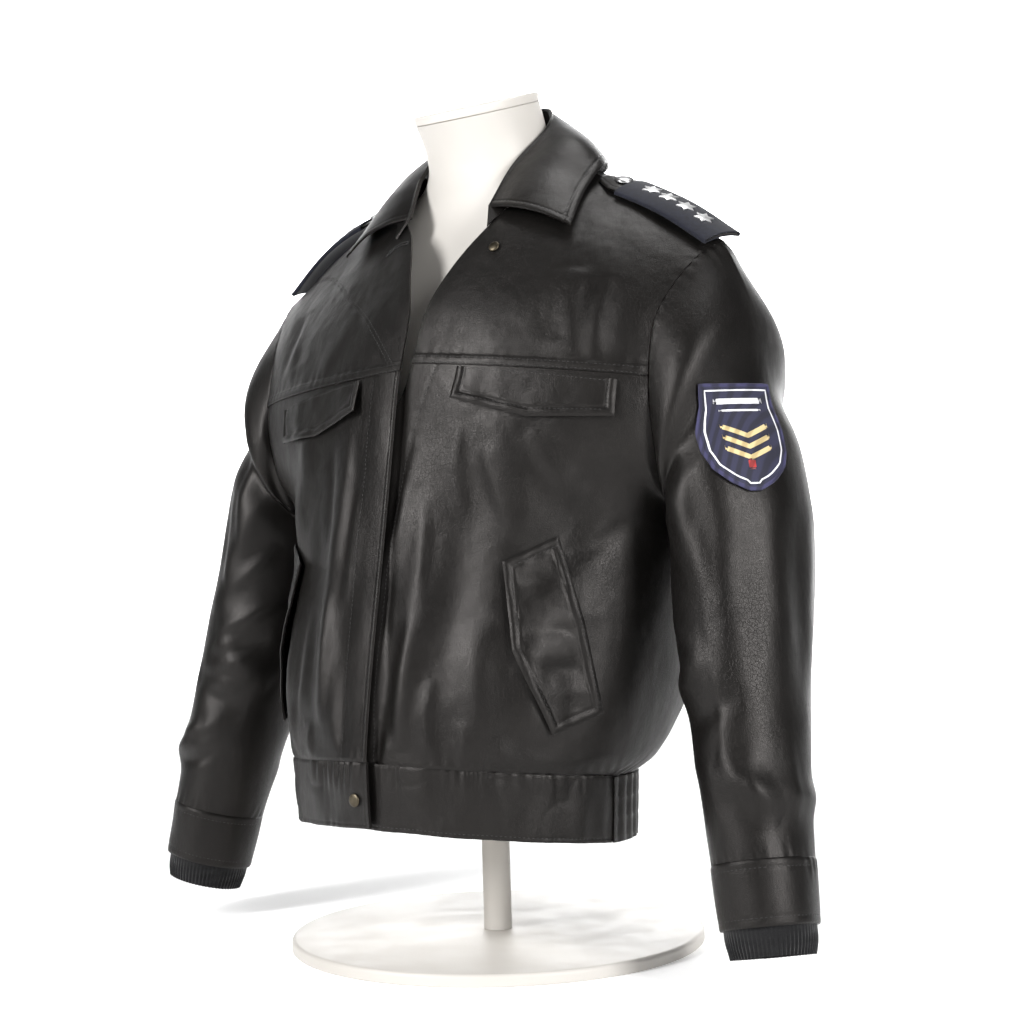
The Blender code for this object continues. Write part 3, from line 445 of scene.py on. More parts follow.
def drop_on(tree, across, up, turn, side, lift):
    """Where a point of the upright plane lands on the surface, moved out by lift."""
    turn = math.radians(turn)
    away = Vector((side * math.sin(turn), -math.cos(turn), 0))
    place = Vector((side * math.cos(turn), math.sin(turn), 0)) * across
    place += Vector((0, 0, up)) + away
    hit, normal, _, _ = tree.ray_cast(place, -away)
    if normal.dot(away) < 0:
        normal = -normal
    return hit + (normal * 0.5 + away * 0.5).normalized() * lift


def between(line, share):
    """The point at a share of a broken line, its corners evenly numbered."""
    at = share * (len(line) - 1)
    k = min(int(at), len(line) - 2)
    return np.array(line[k]) + (np.array(line[k + 1]) - line[k]) * (at - k)


def strap_at(share, side):
    """A place along a shoulder strap, its width's direction and its upper one."""
    rows = len(STRAP_LINE) - 2

    def place_at(share):
        rise = STRAP_RISE * math.sin(math.pi * share) * (side == RIGHT)
        return np.stack(list(read(STRAP_LINE, share * rows).values())) + (0, 0, rise)

    place, ahead, behind = (place_at(share + step) for step in (0, 0.015, -0.015))
    run = unit(ahead - behind)
    lean = math.radians(STRAP_LEAN)
    aft = np.array([0, math.cos(lean), math.sin(lean)])
    aft = unit(aft - run * (aft @ run))
    return place, aft, unit(np.cross(run, aft))


# Creases listed one by one, drawn on the panel laid flat as a curve through three points:
# half width, height (negative for a trough) and lean, which makes one side steeper
LEFT_CREASES = (
    "x0 z0 x1 z1 x2 z2 wide high lean",
    (0.175, 0.650, 0.172, 0.615, 0.190, 0.560, 0.012, 0.0050, -0.3),
    (0.205, 0.640, 0.198, 0.600, 0.208, 0.555, 0.010, -0.0045, 0.2),
    (0.045, 0.500, 0.030, 0.440, 0.012, 0.360, 0.010, 0.0035, 0.4),
    (0.085, 0.510, 0.078, 0.470, 0.090, 0.420, 0.009, 0.0030, -0.4),
    (0.110, 0.490, 0.118, 0.445, 0.140, 0.400, 0.010, 0.0038, 0.3),
    (0.020, 0.420, 0.004, 0.360, 0.004, 0.300, 0.008, 0.0032, 0.3),
    (0.012, 0.330, 0.020, 0.270, 0.014, 0.200, 0.009, 0.0042, -0.3),
    (0.052, 0.330, 0.040, 0.275, 0.046, 0.210, 0.009, 0.0040, 0.4),
    (0.075, 0.280, 0.066, 0.240, 0.075, 0.200, 0.008, 0.0030, -0.2),
    (0.102, 0.240, 0.108, 0.215, 0.100, 0.192, 0.008, 0.0028, 0.3),
    (0.150, 0.500, 0.175, 0.455, 0.195, 0.420, 0.012, 0.0042, 0.3),
    (0.200, 0.480, 0.185, 0.420, 0.165, 0.360, 0.012, -0.0045, 0.2),
    (0.165, 0.340, 0.150, 0.280, 0.160, 0.215, 0.012, 0.0040, -0.3),
    (0.190, 0.330, 0.178, 0.270, 0.182, 0.200, 0.010, -0.0040, 0.0),
    (0.130, 0.225, 0.136, 0.208, 0.130, 0.190, 0.007, 0.0026, 0.0),
    (0.030, 0.230, 0.034, 0.208, 0.028, 0.188, 0.006, 0.0026, 0.2),
    (0.060, 0.440, 0.066, 0.400, 0.060, 0.350, 0.007, -0.0022, 0.3),
    (0.215, 0.420, 0.195, 0.390, 0.175, 0.385, 0.008, -0.0030, 0.0),
)
RIGHT_CREASES = (
    "x0 z0 x1 z1 x2 z2 wide high lean",
    (0.045, 0.520, 0.040, 0.450, 0.050, 0.380, 0.010, 0.0034, 0.3),
    (0.070, 0.500, 0.075, 0.430, 0.066, 0.370, 0.009, -0.0030, 0.2),
    (0.025, 0.450, 0.020, 0.400, 0.032, 0.340, 0.008, 0.0028, -0.3),
    (0.055, 0.360, 0.045, 0.300, 0.055, 0.230, 0.009, 0.0040, 0.4),
    (0.095, 0.350, 0.085, 0.290, 0.095, 0.210, 0.010, 0.0038, -0.3),
    (0.025, 0.300, 0.035, 0.250, 0.024, 0.200, 0.008, 0.0034, 0.2),
    (0.130, 0.380, 0.120, 0.300, 0.130, 0.220, 0.012, 0.0042, 0.3),
    (0.110, 0.250, 0.116, 0.222, 0.110, 0.192, 0.008, 0.0030, 0.0),
    (0.160, 0.460, 0.150, 0.400, 0.160, 0.330, 0.012, 0.0042, -0.3),
    (0.195, 0.450, 0.180, 0.400, 0.160, 0.365, 0.010, -0.0042, 0.2),
    (0.070, 0.235, 0.076, 0.212, 0.070, 0.190, 0.007, 0.0030, 0.3),
    (0.180, 0.340, 0.165, 0.270, 0.172, 0.205, 0.011, -0.0040, 0.2),
    (0.180, 0.640, 0.172, 0.610, 0.190, 0.570, 0.011, 0.0035, -0.3),
    (0.060, 0.620, 0.090, 0.600, 0.110, 0.560, 0.012, 0.0016, 0.3),
)
BACK_CREASES = (
    "x0 z0 x1 z1 x2 z2 wide high lean",
    (0.020, 0.360, 0.010, 0.290, 0.022, 0.200, 0.011, 0.0042, 0.3),
    (-0.030, 0.400, -0.040, 0.320, -0.028, 0.215, 0.010, 0.0040, -0.3),
    (0.065, 0.420, 0.075, 0.330, 0.062, 0.215, 0.011, -0.0040, 0.2),
    (-0.090, 0.430, -0.095, 0.330, -0.086, 0.205, 0.012, 0.0044, 0.3),
    (0.115, 0.400, 0.122, 0.310, 0.112, 0.205, 0.011, 0.0044, -0.3),
    (-0.145, 0.400, -0.140, 0.310, -0.148, 0.215, 0.011, -0.0042, 0.2),
    (0.165, 0.400, 0.170, 0.320, 0.160, 0.220, 0.011, 0.0040, 0.3),
    (0.230, 0.520, 0.190, 0.470, 0.150, 0.450, 0.013, -0.0048, 0.2),
    (-0.232, 0.525, -0.195, 0.470, -0.150, 0.445, 0.013, -0.0048, -0.2),
    (0.225, 0.470, 0.180, 0.425, 0.130, 0.420, 0.012, 0.0040, 0.2),
    (-0.225, 0.465, -0.180, 0.420, -0.125, 0.405, 0.012, 0.0040, 0.2),
    (0.060, 0.700, 0.100, 0.680, 0.150, 0.640, 0.016, 0.0020, 0.3),
    (-0.070, 0.690, -0.110, 0.665, -0.150, 0.620, 0.016, 0.0020, -0.3),
    (0.200, 0.600, 0.205, 0.560, 0.195, 0.510, 0.013, 0.0034, 0.3),
    (-0.200, 0.605, -0.208, 0.560, -0.196, 0.505, 0.013, 0.0034, -0.3),
)
# The same on a sleeve: angle from the underarm seam in place of x
LEFT_SLEEVE_CREASES = (
    "a0 z0 a1 z1 a2 z2 wide high lean",
    (62, 0.600, 48, 0.545, 40, 0.480, 0.010, -0.0045, 0.2),
    (84, 0.585, 72, 0.520, 52, 0.455, 0.010, 0.0040, 0.3),
    (70, 0.520, 58, 0.470, 34, 0.430, 0.009, -0.0036, 0.2),
    (98, 0.520, 88, 0.440, 74, 0.370, 0.011, 0.0032, -0.3),
    (46, 0.430, 66, 0.390, 84, 0.350, 0.009, 0.0022, 0.2),
    (112, 0.470, 120, 0.370, 110, 0.270, 0.014, 0.0030, 0.3),
    (134, 0.440, 142, 0.340, 134, 0.240, 0.015, -0.0026, 0.2),
    (152, 0.520, 160, 0.400, 150, 0.280, 0.020, 0.0034, 0.2),
    (178, 0.440, 186, 0.330, 176, 0.220, 0.018, -0.0026, -0.2),
    (96, 0.350, 104, 0.270, 96, 0.190, 0.010, 0.0026, 0.3),
    (40, 0.330, 62, 0.306, 88, 0.300, 0.009, 0.0026, 0.2),
    (36, 0.290, 60, 0.270, 84, 0.272, 0.008, -0.0026, 0.2),
    (120, 0.225, 132, 0.180, 124, 0.140, 0.011, 0.0024, 0.2),
    (70, 0.210, 84, 0.180, 80, 0.140, 0.009, 0.0026, 0.2),
    (160, 0.230, 172, 0.190, 166, 0.145, 0.011, 0.0022, -0.3),
    (100, 0.165, 118, 0.150, 140, 0.146, 0.007, -0.0014, 0.2),
    (220, 0.430, 232, 0.370, 224, 0.310, 0.012, 0.0036, 0.3),
    (262, 0.500, 280, 0.450, 305, 0.420, 0.010, -0.0040, 0.2),
    (300, 0.340, 275, 0.310, 245, 0.315, 0.010, 0.0036, 0.2),
    (310, 0.290, 280, 0.270, 250, 0.280, 0.009, -0.0034, 0.2),
    (290, 0.220, 262, 0.200, 232, 0.206, 0.009, 0.0030, 0.2),
    (180, 0.600, 172, 0.560, 176, 0.510, 0.014, 0.0016, 0.3),
)
RIGHT_SLEEVE_CREASES = (
    "a0 z0 a1 z1 a2 z2 wide high lean",
    (66, 0.595, 52, 0.540, 42, 0.470, 0.010, -0.0045, 0.2),
    (88, 0.580, 78, 0.515, 58, 0.445, 0.011, 0.0048, 0.3),
    (76, 0.515, 62, 0.465, 36, 0.425, 0.009, -0.0040, 0.2),
    (104, 0.520, 96, 0.450, 74, 0.390, 0.010, 0.0042, -0.3),
    (120, 0.470, 116, 0.400, 96, 0.340, 0.010, -0.0034, 0.3),
    (46, 0.400, 66, 0.370, 92, 0.352, 0.009, 0.0034, 0.2),
    (30, 0.345, 60, 0.318, 98, 0.312, 0.009, 0.0042, 0.3),
    (34, 0.305, 66, 0.280, 104, 0.284, 0.008, -0.0038, 0.2),
    (40, 0.262, 74, 0.246, 112, 0.256, 0.008, 0.0036, -0.2),
    (60, 0.215, 94, 0.200, 132, 0.208, 0.008, 0.0032, 0.2),
    (56, 0.182, 90, 0.168, 126, 0.174, 0.007, -0.0028, 0.2),
    (150, 0.300, 158, 0.240, 150, 0.180, 0.011, 0.0030, 0.3),
    (228, 0.440, 238, 0.380, 228, 0.310, 0.012, 0.0036, 0.3),
    (266, 0.500, 284, 0.450, 308, 0.425, 0.010, -0.0040, 0.2),
    (305, 0.335, 278, 0.312, 246, 0.320, 0.010, 0.0036, 0.2),
    (300, 0.265, 270, 0.250, 240, 0.258, 0.009, -0.0034, 0.2),
)

# Sewing
EDGE_IN = 0.0080         # topstitching lies this far in from an edge
LAP = 0.0090             # the yoke's lapped strip
PLACKET_FROM, PLACKET_LEAN = 0.010, 0.95   # the right yoke's slanting seam
STITCH, STITCH_STEP, STITCH_RADIUS = 0.0030, 0.0042, 0.00030
BAND_STITCHES = 0.0040   # below the waistband's seam
YOKE_STITCHES = (0.0017, 0.0075)       # above the yoke's lower edge
PLACKET_STITCHES = (0.0018, 0.0075)    # before the slanting seam
PLACKET_LINE, FACING_LINE = 0.036, 0.030   # from the right and the left front edge
EDGE_STITCHES = 0.0035   # from the right front edge
COUNTED = 60             # the column whose distances place the stitched rows

# Ridges and grooves along the edges of the pieces: distance, half width and height
RIGHT_EDGE_RELIEF = (
    "at wide high",
    (PLACKET_LINE, 0.0012, -0.0006),
    (0.0050, 0.0010, -0.0006),
    (0.020, 0.012, 0.0010),
    (0.0025, 0.0022, 0.0012),
    (0.0, 0.0010, -0.0010),
)
YOKE_RELIEF = ("at wide high", (YOKE_STITCHES[0], 0.0008, -0.0004),
               (YOKE_STITCHES[1], 0.0008, -0.0003))
PLACKET_RELIEF = ("at wide high", (-PLACKET_STITCHES[0], 0.0008, -0.0004),
                  (-PLACKET_STITCHES[1], 0.0008, -0.0003))
COLLAR_RELIEF = ("at wide high", (EDGE_IN, 0.0010, -0.0005), (EDGE_IN / 2, 0.0035, 0.0004),
                 (0.0, 0.0012, -0.0007))
FLAP_RELIEF = ("at wide high", (EDGE_IN / 2, 0.0036, 0.0007), (EDGE_IN, 0.0012, -0.0008),
               (0.0, 0.0012, -0.0008))
STRAP_RELIEF = ("at wide high", (0.005, 0.0010, -0.0004), (0.0, 0.0010, -0.0005))


def creases(across, up, named_rows, scale=1.0, wrap=0.0):
    """Heights of the listed creases at points of the flat drawing."""
    lift = np.zeros(np.broadcast(across, up).shape)
    share = np.linspace(0, 1, 9)
    for x0, z0, x1, z1, x2, z2, wide, high, lean in named_rows[1:]:
        start, bend, end = (x0 * scale, z0), (x1 * scale, z1), (x2 * scale, z2)
        line = (np.outer((1 - share) ** 2, start) + np.outer(2 * share * (1 - share), bend)
                + np.outer(share**2, end))
        for shift in ((-wrap, 0, wrap) if wrap else (0,)):
            best = np.full(lift.shape, 9.0)
            at = np.zeros(lift.shape)
            sign = np.zeros(lift.shape)
            for k in range(len(line) - 1):
                run = line[k + 1] - line[k]
                dx, dz = across + shift - line[k][0], up - line[k][1]
                along = np.clip((dx * run[0] + dz * run[1]) / (run @ run), 0, 1)
                off = np.hypot(dx - along * run[0], dz - along * run[1])
                closer = off < best
                best = np.where(closer, off, best)
                at = np.where(closer, (k + along) / (len(line) - 1), at)
                side = run[0] * dz - run[1] * dx
                sign = np.where(closer, np.tanh(side / (np.hypot(*run) * wide)), sign)
            half = wide * (1 + lean * sign)
            lift += high * np.sin(math.pi * at) ** 0.8 * np.exp(-((best / half) ** 2))
    return lift


def ripple(points, size, seed=0.0):
    """Smooth seeded noise between -1 and 1, with cells of one size."""
    p = np.asarray(points) / size + seed * 7.31
    cell = np.floor(p)
    part = p - cell
    part = part * part * (3 - 2 * part)
    total = 0
    for dx in (0, 1):
        for dy in (0, 1):
            for dz in (0, 1):
                c = cell + (dx, dy, dz)
                mixed = np.sin(c @ np.array([127.1, 311.7, 74.7]) + seed) * 43758.5453
                value = mixed - np.floor(mixed)
                weight = 1
                for k, step in enumerate((dx, dy, dz)):
                    weight = weight * (part[..., k] if step else 1 - part[..., k])
                total = total + value * weight
    return 2 * total - 1


def slanted(points):
    """The points in a space where ripples run down and outward, longer than wide."""
    x, y, z = points[..., 0], points[..., 1], points[..., 2]
    return np.stack([x + 0.5 * z, y, 0.45 * z - 0.25 * x], -1)


def bell(distance, wide):
    return np.exp(-((distance / wide) ** 2))


def worked(distance, named_rows):
    """Ridges and grooves (negative) that run along an edge at distances from it."""
    return sum(high * bell(distance - at, wide) for at, wide, high in named_rows[1:])


def grid_normals(points, ring=False):
    """Directions across a grid, pointing along columns x rows."""
    if ring:
        ahead = np.roll(points, -1, 1) - np.roll(points, 1, 1)
    else:
        ahead = np.gradient(points, axis=1)
    rise = np.gradient(points, axis=0)
    return unit(np.cross(ahead, rise))


def run_lengths(points, axis):
    """Distance from the grid's first row or column, along the surface."""
    steps = np.linalg.norm(np.diff(points, axis=axis), axis=-1)
    start = np.zeros_like(np.take(steps, [0], axis=axis))
    return np.cumsum(np.concatenate([start, steps], axis=axis), axis=axis)


def round_lengths(tube):
    """Distance round a tube's rings, from their first point."""
    return run_lengths(np.concatenate([tube, tube[:, :1]], 1), 1)[:, :-1]


def lofted(rings, at):
    """Rings read between, on smooth curves through them."""
    flat = np.stack(rings).reshape(len(rings), -1)
    points = np.stack([smooth(flat[:, k], at) for k in range(flat.shape[1])], 1)
    return points.reshape(len(at), -1, 3)


def nearest(distances, wanted):
    """The number of the distance that is nearest to the wanted one."""
    return int(np.argmin(abs(distances - wanted)))


def from_edges(points):
    """Distances of a grid's points to its four edges: low, high, first, last."""
    down, along = run_lengths(points, 0), run_lengths(points, 1)
    return down, down[-1:] - down, along, along[:, -1:] - along


def mesh_object(name, points, faces, material, crisp=40):
    mesh = bpy.data.meshes.new(name)
    mesh.from_pydata([tuple(p) for p in points], [], faces)
    mesh.shade_smooth()
    mesh.set_sharp_from_angle(angle=math.radians(crisp))
    item = bpy.data.objects.new(name, mesh)
    bpy.context.scene.collection.objects.link(item)
    mesh.materials.append(material)
    return item


def cloth(name, points, material, thick=WALL, flip=False, ring=False, crisp=50):
    """A closed cloth wall from a grid whose outer side shows, its edges rounded."""
    rows, columns = points.shape[:2]
    normals = grid_normals(points, ring) * (-1 if flip else 1)
    inner = points - normals * thick
    count = rows * columns
    index = np.arange(count).reshape(rows, columns)
    if ring:
        index = np.concatenate([index, index[:, :1]], axis=1)
    a, b = index[:-1, :-1], index[:-1, 1:]
    c, d = index[1:, 1:], index[1:, :-1]
    quads = np.stack([a, b, c, d], -1).reshape(-1, 4)
    rim = []
    lines = [index[0], index[-1][::-1]]
    if not ring:
        lines += [index[:, -1], index[:, 0][::-1]]
    for line in lines:
        rim += [(line[k + 1], line[k], line[k] + count, line[k + 1] + count)
                for k in range(len(line) - 1)]
    faces = np.concatenate([quads, (quads + count)[:, ::-1], np.array(rim)])
    if flip:
        faces = faces[:, ::-1]
    everything = np.concatenate([points.reshape(-1, 3), inner.reshape(-1, 3)])
    return mesh_object(name, everything, faces.tolist(), material, crisp)


def wear(item, node=None):
    """Rides a piece on the part, and hides the imported node that it stands for."""
    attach(item, "root")
    if node:
        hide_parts(node)
    return item


def joined(name, meshes, material):
    """One piece from many small meshes of points and faces."""
    points, faces, base = [], [], 0
    for some_points, some_faces in meshes:
        points.append(np.asarray(some_points))
        faces += [[base + v for v in face] for face in some_faces]
        base += len(some_points)
    item = mesh_object(name, np.concatenate(points), faces, material, 40)
    return wear(item, None)


def sewn(line, normals, radius=STITCH_RADIUS, length=STITCH, step=STITCH_STEP):
    """Stitches along a line on a surface, each a short six-sided rod sunk at its ends."""
    line, normals = np.asarray(line), np.asarray(normals)
    steps = np.linalg.norm(np.diff(line, axis=0), axis=1)
    at = np.concatenate([[0], np.cumsum(steps)])
    made = []
    for k in range(int(at[-1] / step)):
        start = (k + 0.15) * step
        spots = start + length * np.array([0, 0.25, 0.75, 1])
        if spots[-1] > at[-1]:
            break
        middle = np.stack([np.interp(spots, at, line[:, c]) for c in range(3)], 1)
        up = unit(np.stack([np.interp(spots, at, normals[:, c]) for c in range(3)], 1))
        run = unit(middle[-1:] - middle[:1])
        side = unit(np.cross(up, run))
        size = np.array([0.4, 1, 1, 0.4])[:, None] * radius
        sink = np.array([-1.2, 0.3, 0.3, -1.2])[:, None] * radius
        points = []
        for angle in np.arange(6) * math.pi / 3:
            points.append(middle + up * (sink + size * math.sin(angle))
                          + side * size * math.cos(angle))
        points = np.stack(points, 1).reshape(-1, 3)
        faces = [[r * 6 + c, r * 6 + (c + 1) % 6, (r + 1) * 6 + (c + 1) % 6, (r + 1) * 6 + c]
                 for r in range(3) for c in range(6)]
        faces += [[5, 4, 3, 2, 1, 0], [18, 19, 20, 21, 22, 23]]
        made.append((points, faces))
    return made


def spread(*stretches):
    """Positions made of stretches, each from, to and how many steps."""
    parts = [np.linspace(a, b, n, endpoint=False) for a, b, n in stretches]
    return np.concatenate(parts + [[stretches[-1][1]]])


def soften(points, rows, columns):
    """Takes the armpit's corner out of a panel's middle, where the leather runs smooth."""
    held = bell(rows[:, None] - ARMPIT, 1.5) * np.clip((0.95 - columns[None, :]) / 0.30, 0, 1)
    held = held * (rows[:, None] > 0.8) * (rows[:, None] < rows.max() - 0.3)
    for _ in range(240):
        middle = (points[:-2] + points[2:]) / 2
        points[1:-1] += (middle - points[1:-1]) * held[1:-1, :, None] * 0.9
    return points


def panel_points(surface, rows, columns, side, extra):
    """A half panel's fine grid with its folds and creases, and its normals."""
    grid_rows, grid_columns = rows[:, None], columns[None, :]
    inner, outer, folds = PANELS[surface]
    points = soften(panel(inner, outer, grid_rows, grid_columns), rows, columns)
    drawn = points[..., 0] * (side if surface == "back" else 1)
    up = points[..., 2]
    ease = np.clip(grid_rows / 1.2, 0, 1) * np.clip(6 * (1 - grid_columns), 0, 1)
    if surface != "back":
        ease = ease * np.clip(8 * grid_columns, 0, 1)
    down, _, along, away = from_edges(points)
    near = (1 - bell(down, 0.008)) * (1 - bell(away, 0.010))
    if surface != "back":
        near = near * (1 - bell(along, 0.012))
    height = fold_height(drawn, up, folds) * ease + creases(drawn, up, extra) * near
    here = points * (side, 1, 1)
    height += 0.0008 * ripple(here * (1, 1, 0.7), 0.050, 3.0) * near
    height += 0.0005 * ripple(slanted(here), 0.022, 5.0) * near
    height += 0.00022 * ripple(here, 0.009, 6.0) * near
    normals = grid_normals(points) * (-1 if surface == "back" else 1)
    return points, normals, height, (down, along, away)


def puckers(distance, along, seed, high=0.0006, wide=0.009, step=0.011):
    """Small gathers that a seam draws into the leather beside it."""
    run = along / step
    line = np.stack([run, np.zeros_like(run), np.zeros_like(run)], -1)
    wave = np.sin(2 * math.pi * run + 5.0 * ripple(line, 2.6, seed))
    size = np.clip(0.45 + 0.9 * ripple(line, 3.3, seed + 2), 0, 1.2)
    reach = wide * (0.8 + 0.5 * ripple(line, 1.9, seed + 6))
    return high * bell(distance, reach) * wave * size


def fronts(side):
    """Lower front and yoke of one side, with the lapped seam between them."""
    name = f"front {word(side)}"
    extra = LEFT_CREASES if side == LEFT else RIGHT_CREASES
    columns = spread((0, 0.06, 16), (0.06, 0.94, 92), (0.94, 1, 10))
    rows = spread((0, 0.4, 14), (0.4, 7.7, 100), (7.7, YOKE, 10))
    made = {}
    points, normals, height, (down, along, away) = panel_points(name, rows, columns, side, extra)
    up = run_lengths(points, 0)
    below = up[-1:] - up
    height = height * (1 - bell(below, 0.010))
    height += puckers(down, along, side + 1.0, 0.0009, 0.016, 0.013) * (1 - bell(down, 0.004))
    height -= 0.0006 * bell(down, 0.0022)
    if side == RIGHT:
        height += worked(along, RIGHT_EDGE_RELIEF)
        height += puckers(along - PLACKET_LINE, up, 8.0, 0.0004, 0.008, 0.016)
    else:
        height -= 0.0005 * bell(along - FACING_LINE, 0.0012)
        height -= 0.0030 * bell(points[..., 0] - 0.0190, 0.0060)
        height += puckers(along - FACING_LINE, up, 9.0, 0.0003, 0.008, 0.016)
    made["front"] = (points + normals * height[..., None]) * (side, 1, 1)
    rows = spread((YOKE, 8.35, 18), (8.35, SHOULDER - 0.15, 64), (SHOULDER - 0.15, SHOULDER, 6))
    points, normals, height, (down, along, away) = panel_points(name, rows, columns, side, extra)
    top = run_lengths(points, 0)
    top = top[-1:] - top
    height = height * (1 - bell(top, 0.008))
    lap = 0.0011 / (1 + np.exp((down - LAP) / 0.0005))
    height += lap + worked(down, YOKE_RELIEF)
    height += puckers(down - LAP, along, side + 4.0, 0.0003, 0.008, 0.014)
    if side == RIGHT:
        seam = along - PLACKET_FROM - PLACKET_LEAN * down
        height += 0.0009 / (1 + np.exp(seam / 0.0006)) * (down > LAP)
        height += worked(seam, PLACKET_RELIEF)
        height += puckers(seam, down, 7.0, 0.0004, 0.008, 0.012)
    height += puckers(away, run_lengths(points, 0), side + 5.0, 0.0005, 0.008, 0.012)
    made["yoke"] = (points + normals * height[..., None]) * (side, 1, 1)
    return made


def back_look():
    """The back in one piece, its middle shared by both halves."""
    columns = spread((0, 0.94, 80), (0.94, 1, 10))
    rows = spread((0, 0.4, 12), (0.4, 13.8, 118), (13.8, 14, 4))
    halves = []
    for side in (LEFT, RIGHT):
        points, normals, height, (down, along, _) = panel_points(
            "back", rows, columns, side, BACK_CREASES)
        up = run_lengths(points, 0)
        height = height * (1 - bell(up[-1:] - up, 0.008))
        gathers = puckers(down, along, 11.0 + side, 0.0012, 0.022, 0.013)
        height += gathers * np.clip(along / 0.02, 0, 1)
        halves.append((points + normals * height[..., None]) * (side, 1, 1))
    left, right = halves
    middle = (left[:, :1] + right[:, :1]) / 2 * (0, 1, 1)
    return np.concatenate([left[:, :0:-1], middle, right[:, 1:]], axis=1)


def sleeve_look(side):
    """A sleeve's fine rings with its folds, creases and the seam's gathers."""
    front_rows = spread((ARMPIT, SHOULDER, 72))
    back_rows = spread((ARMPIT, SHOULDER + 1, 72))[::-1]
    last = np.array([1.0])
    front = panel(*PANELS[f"front {word(side)}"][:2], front_rows[:, None], last)[:, 0]
    back = panel(*PANELS["back"][:2], back_rows[:, None], last)[:, 0]
    angles = around(front, back)
    hole = np.concatenate([front, back[1:-1]]) * (side, 1, 1)
    rings = [hole] + [ring(row, angles, side) for row in SLEEVE[1:]]
    end = len(SLEEVE) - 1
    at = spread((0, 0.3, 10), (0.3, end - 0.15, 124), (end - 0.15, end, 5))
    points = lofted(rings, at)
    normals = grid_normals(points, True) * -side
    ease = (np.clip(at / 1.5, 0, 1) * np.clip(2 * (end - at), 0, 1))[:, None]
    heights = points[..., 2]
    height = fold_on_sleeve(angles, heights) * ease
    down = run_lengths(points, 0)
    near = (1 - bell(down, 0.010)) * (1 - bell(down[-1:] - down, 0.012))
    extra = LEFT_SLEEVE_CREASES if side == LEFT else RIGHT_SLEEVE_CREASES
    turn = math.radians(1) * SLEEVE_RADIUS
    across = (angles * SLEEVE_RADIUS)[None, :] + 0 * heights
    drawn = creases(across, heights, extra, turn, 2 * math.pi * SLEEVE_RADIUS)
    height += drawn * near * (0.62 if side == LEFT else 0.85)
    height += 0.0005 * ripple(points, 0.040, 13.0 + side) * near
    height += 0.00025 * ripple(slanted(points), 0.018, 15.0 + side) * near
    crown = np.clip(np.sin(angles / 2), 0, 1)[None, :]
    round_hole = round_lengths(points)
    height += puckers(down, round_hole, 17.0 + side, 0.0007, 0.012, 0.013) * crown
    height -= 0.0006 * bell(down, 0.0020)
    height += puckers(down[-1:] - down, round_hole, 19.0 + side, 0.0006, 0.010, 0.012)
    return points + normals * height[..., None], angles, points[-1]


def cuff_look(side, angles, top):
    end = ring(CUFF_END, angles, side)
    steps = spread((0, 0.06, 5), (0.06, 0.94, 24), (0.94, 1, 5))[:, None, None]
    tube = top + (end - top) * steps
    normals = grid_normals(tube, True) * -side
    down = run_lengths(tube, 0)
    along = round_lengths(tube)
    height = CUFF_SWELL * np.clip(down / 0.003, 0, 1) ** 0.5
    height = height - 0.0004 * bell(down - EDGE_IN, 0.0010)
    height -= 0.0004 * bell(down[-1:] - down - EDGE_IN, 0.0010)
    height += puckers(down - EDGE_IN, along, 21.0 + side, 0.0004, 0.010, 0.013)
    height += 0.0007 * ripple(tube * (1, 1, 0.6), 0.020, 23.0 + side)
    height -= 0.0006 * bell(down[-1:] - down, 0.0010)
    return tube + normals * height[..., None]


def knit_look(side):
    """The rib knit cuff, its ribs running down the arm."""
    ribs = 64
    angles = np.linspace(0, 2 * math.pi, ribs * 6, endpoint=False)
    room = WALL + KNIT_ROOM - CUFF_SWELL
    rows = []
    for share in (KNIT_UP, 0.0):
        top = np.array(SLEEVE[-1]) * share + np.array(CUFF_END) * (1 - share)
        top[5:] -= room + 0.0008
        rows.append(ring(top, angles, side))
    rows += [ring(KNIT_MOUTH, angles, side), ring(KNIT_END, angles, side)]
    at = np.linspace(0, 3, 20)
    points = lofted(rows, at)
    normals = grid_normals(points, True) * -side
    wave = 0.0006 * np.cos(angles * ribs)[None, :] + 0 * at[:, None]
    wave += 0.0005 * ripple(points, 0.012, 27.0 + side)
    wave = wave * np.clip(at - 1.0, 0.1, 1)[:, None]
    return points + normals * wave[..., None]


def band_look(side):
    """A leather front of the waistband, wrinkled beside its seams."""
    columns = spread((0, 0.05, 10), (0.05, 0.95, 124), (0.95, 1, 8))
    inner, outer, _ = PANELS[f"front {word(side)}"]
    top = panel(inner, outer, np.zeros((1, 1)), columns[None, :])[0]
    drops = spread((0, 0.08, 6), (0.08, 0.9, 26), (0.9, 1, 6))
    rows = band_rows(top, drops[::-1], BAND_SWELL)
    normals = grid_normals(rows)
    down, up, along, away = from_edges(rows)
    height = puckers(up, along, 31.0 + side, 0.0011, 0.022, 0.011)
    height += puckers(down, along, 33.0 + side, 0.0005, 0.012, 0.012)
    height += 0.0012 * ripple(rows * (1, 1, 0.3), 0.014, 35.0 + side)
    height += 0.0010 * ripple(rows, 0.026, 37.0 + side)
    height -= 0.0009 * (1 - np.abs(ripple(rows, 0.030, 39.0 + side))) ** 5
    height = height * (1 - bell(along, 0.006)) * (1 - bell(away, 0.006))
    height -= 0.0005 * bell(down - BAND_STITCHES, 0.0010) + 0.0005 * bell(up, 0.0016)
    if side == RIGHT:
        height -= 0.0005 * bell(along - 0.0035, 0.0010)
    height -= 0.0007 * bell(down, 0.0012)
    return (rows + normals * height[..., None]) * (side, 1, 1)


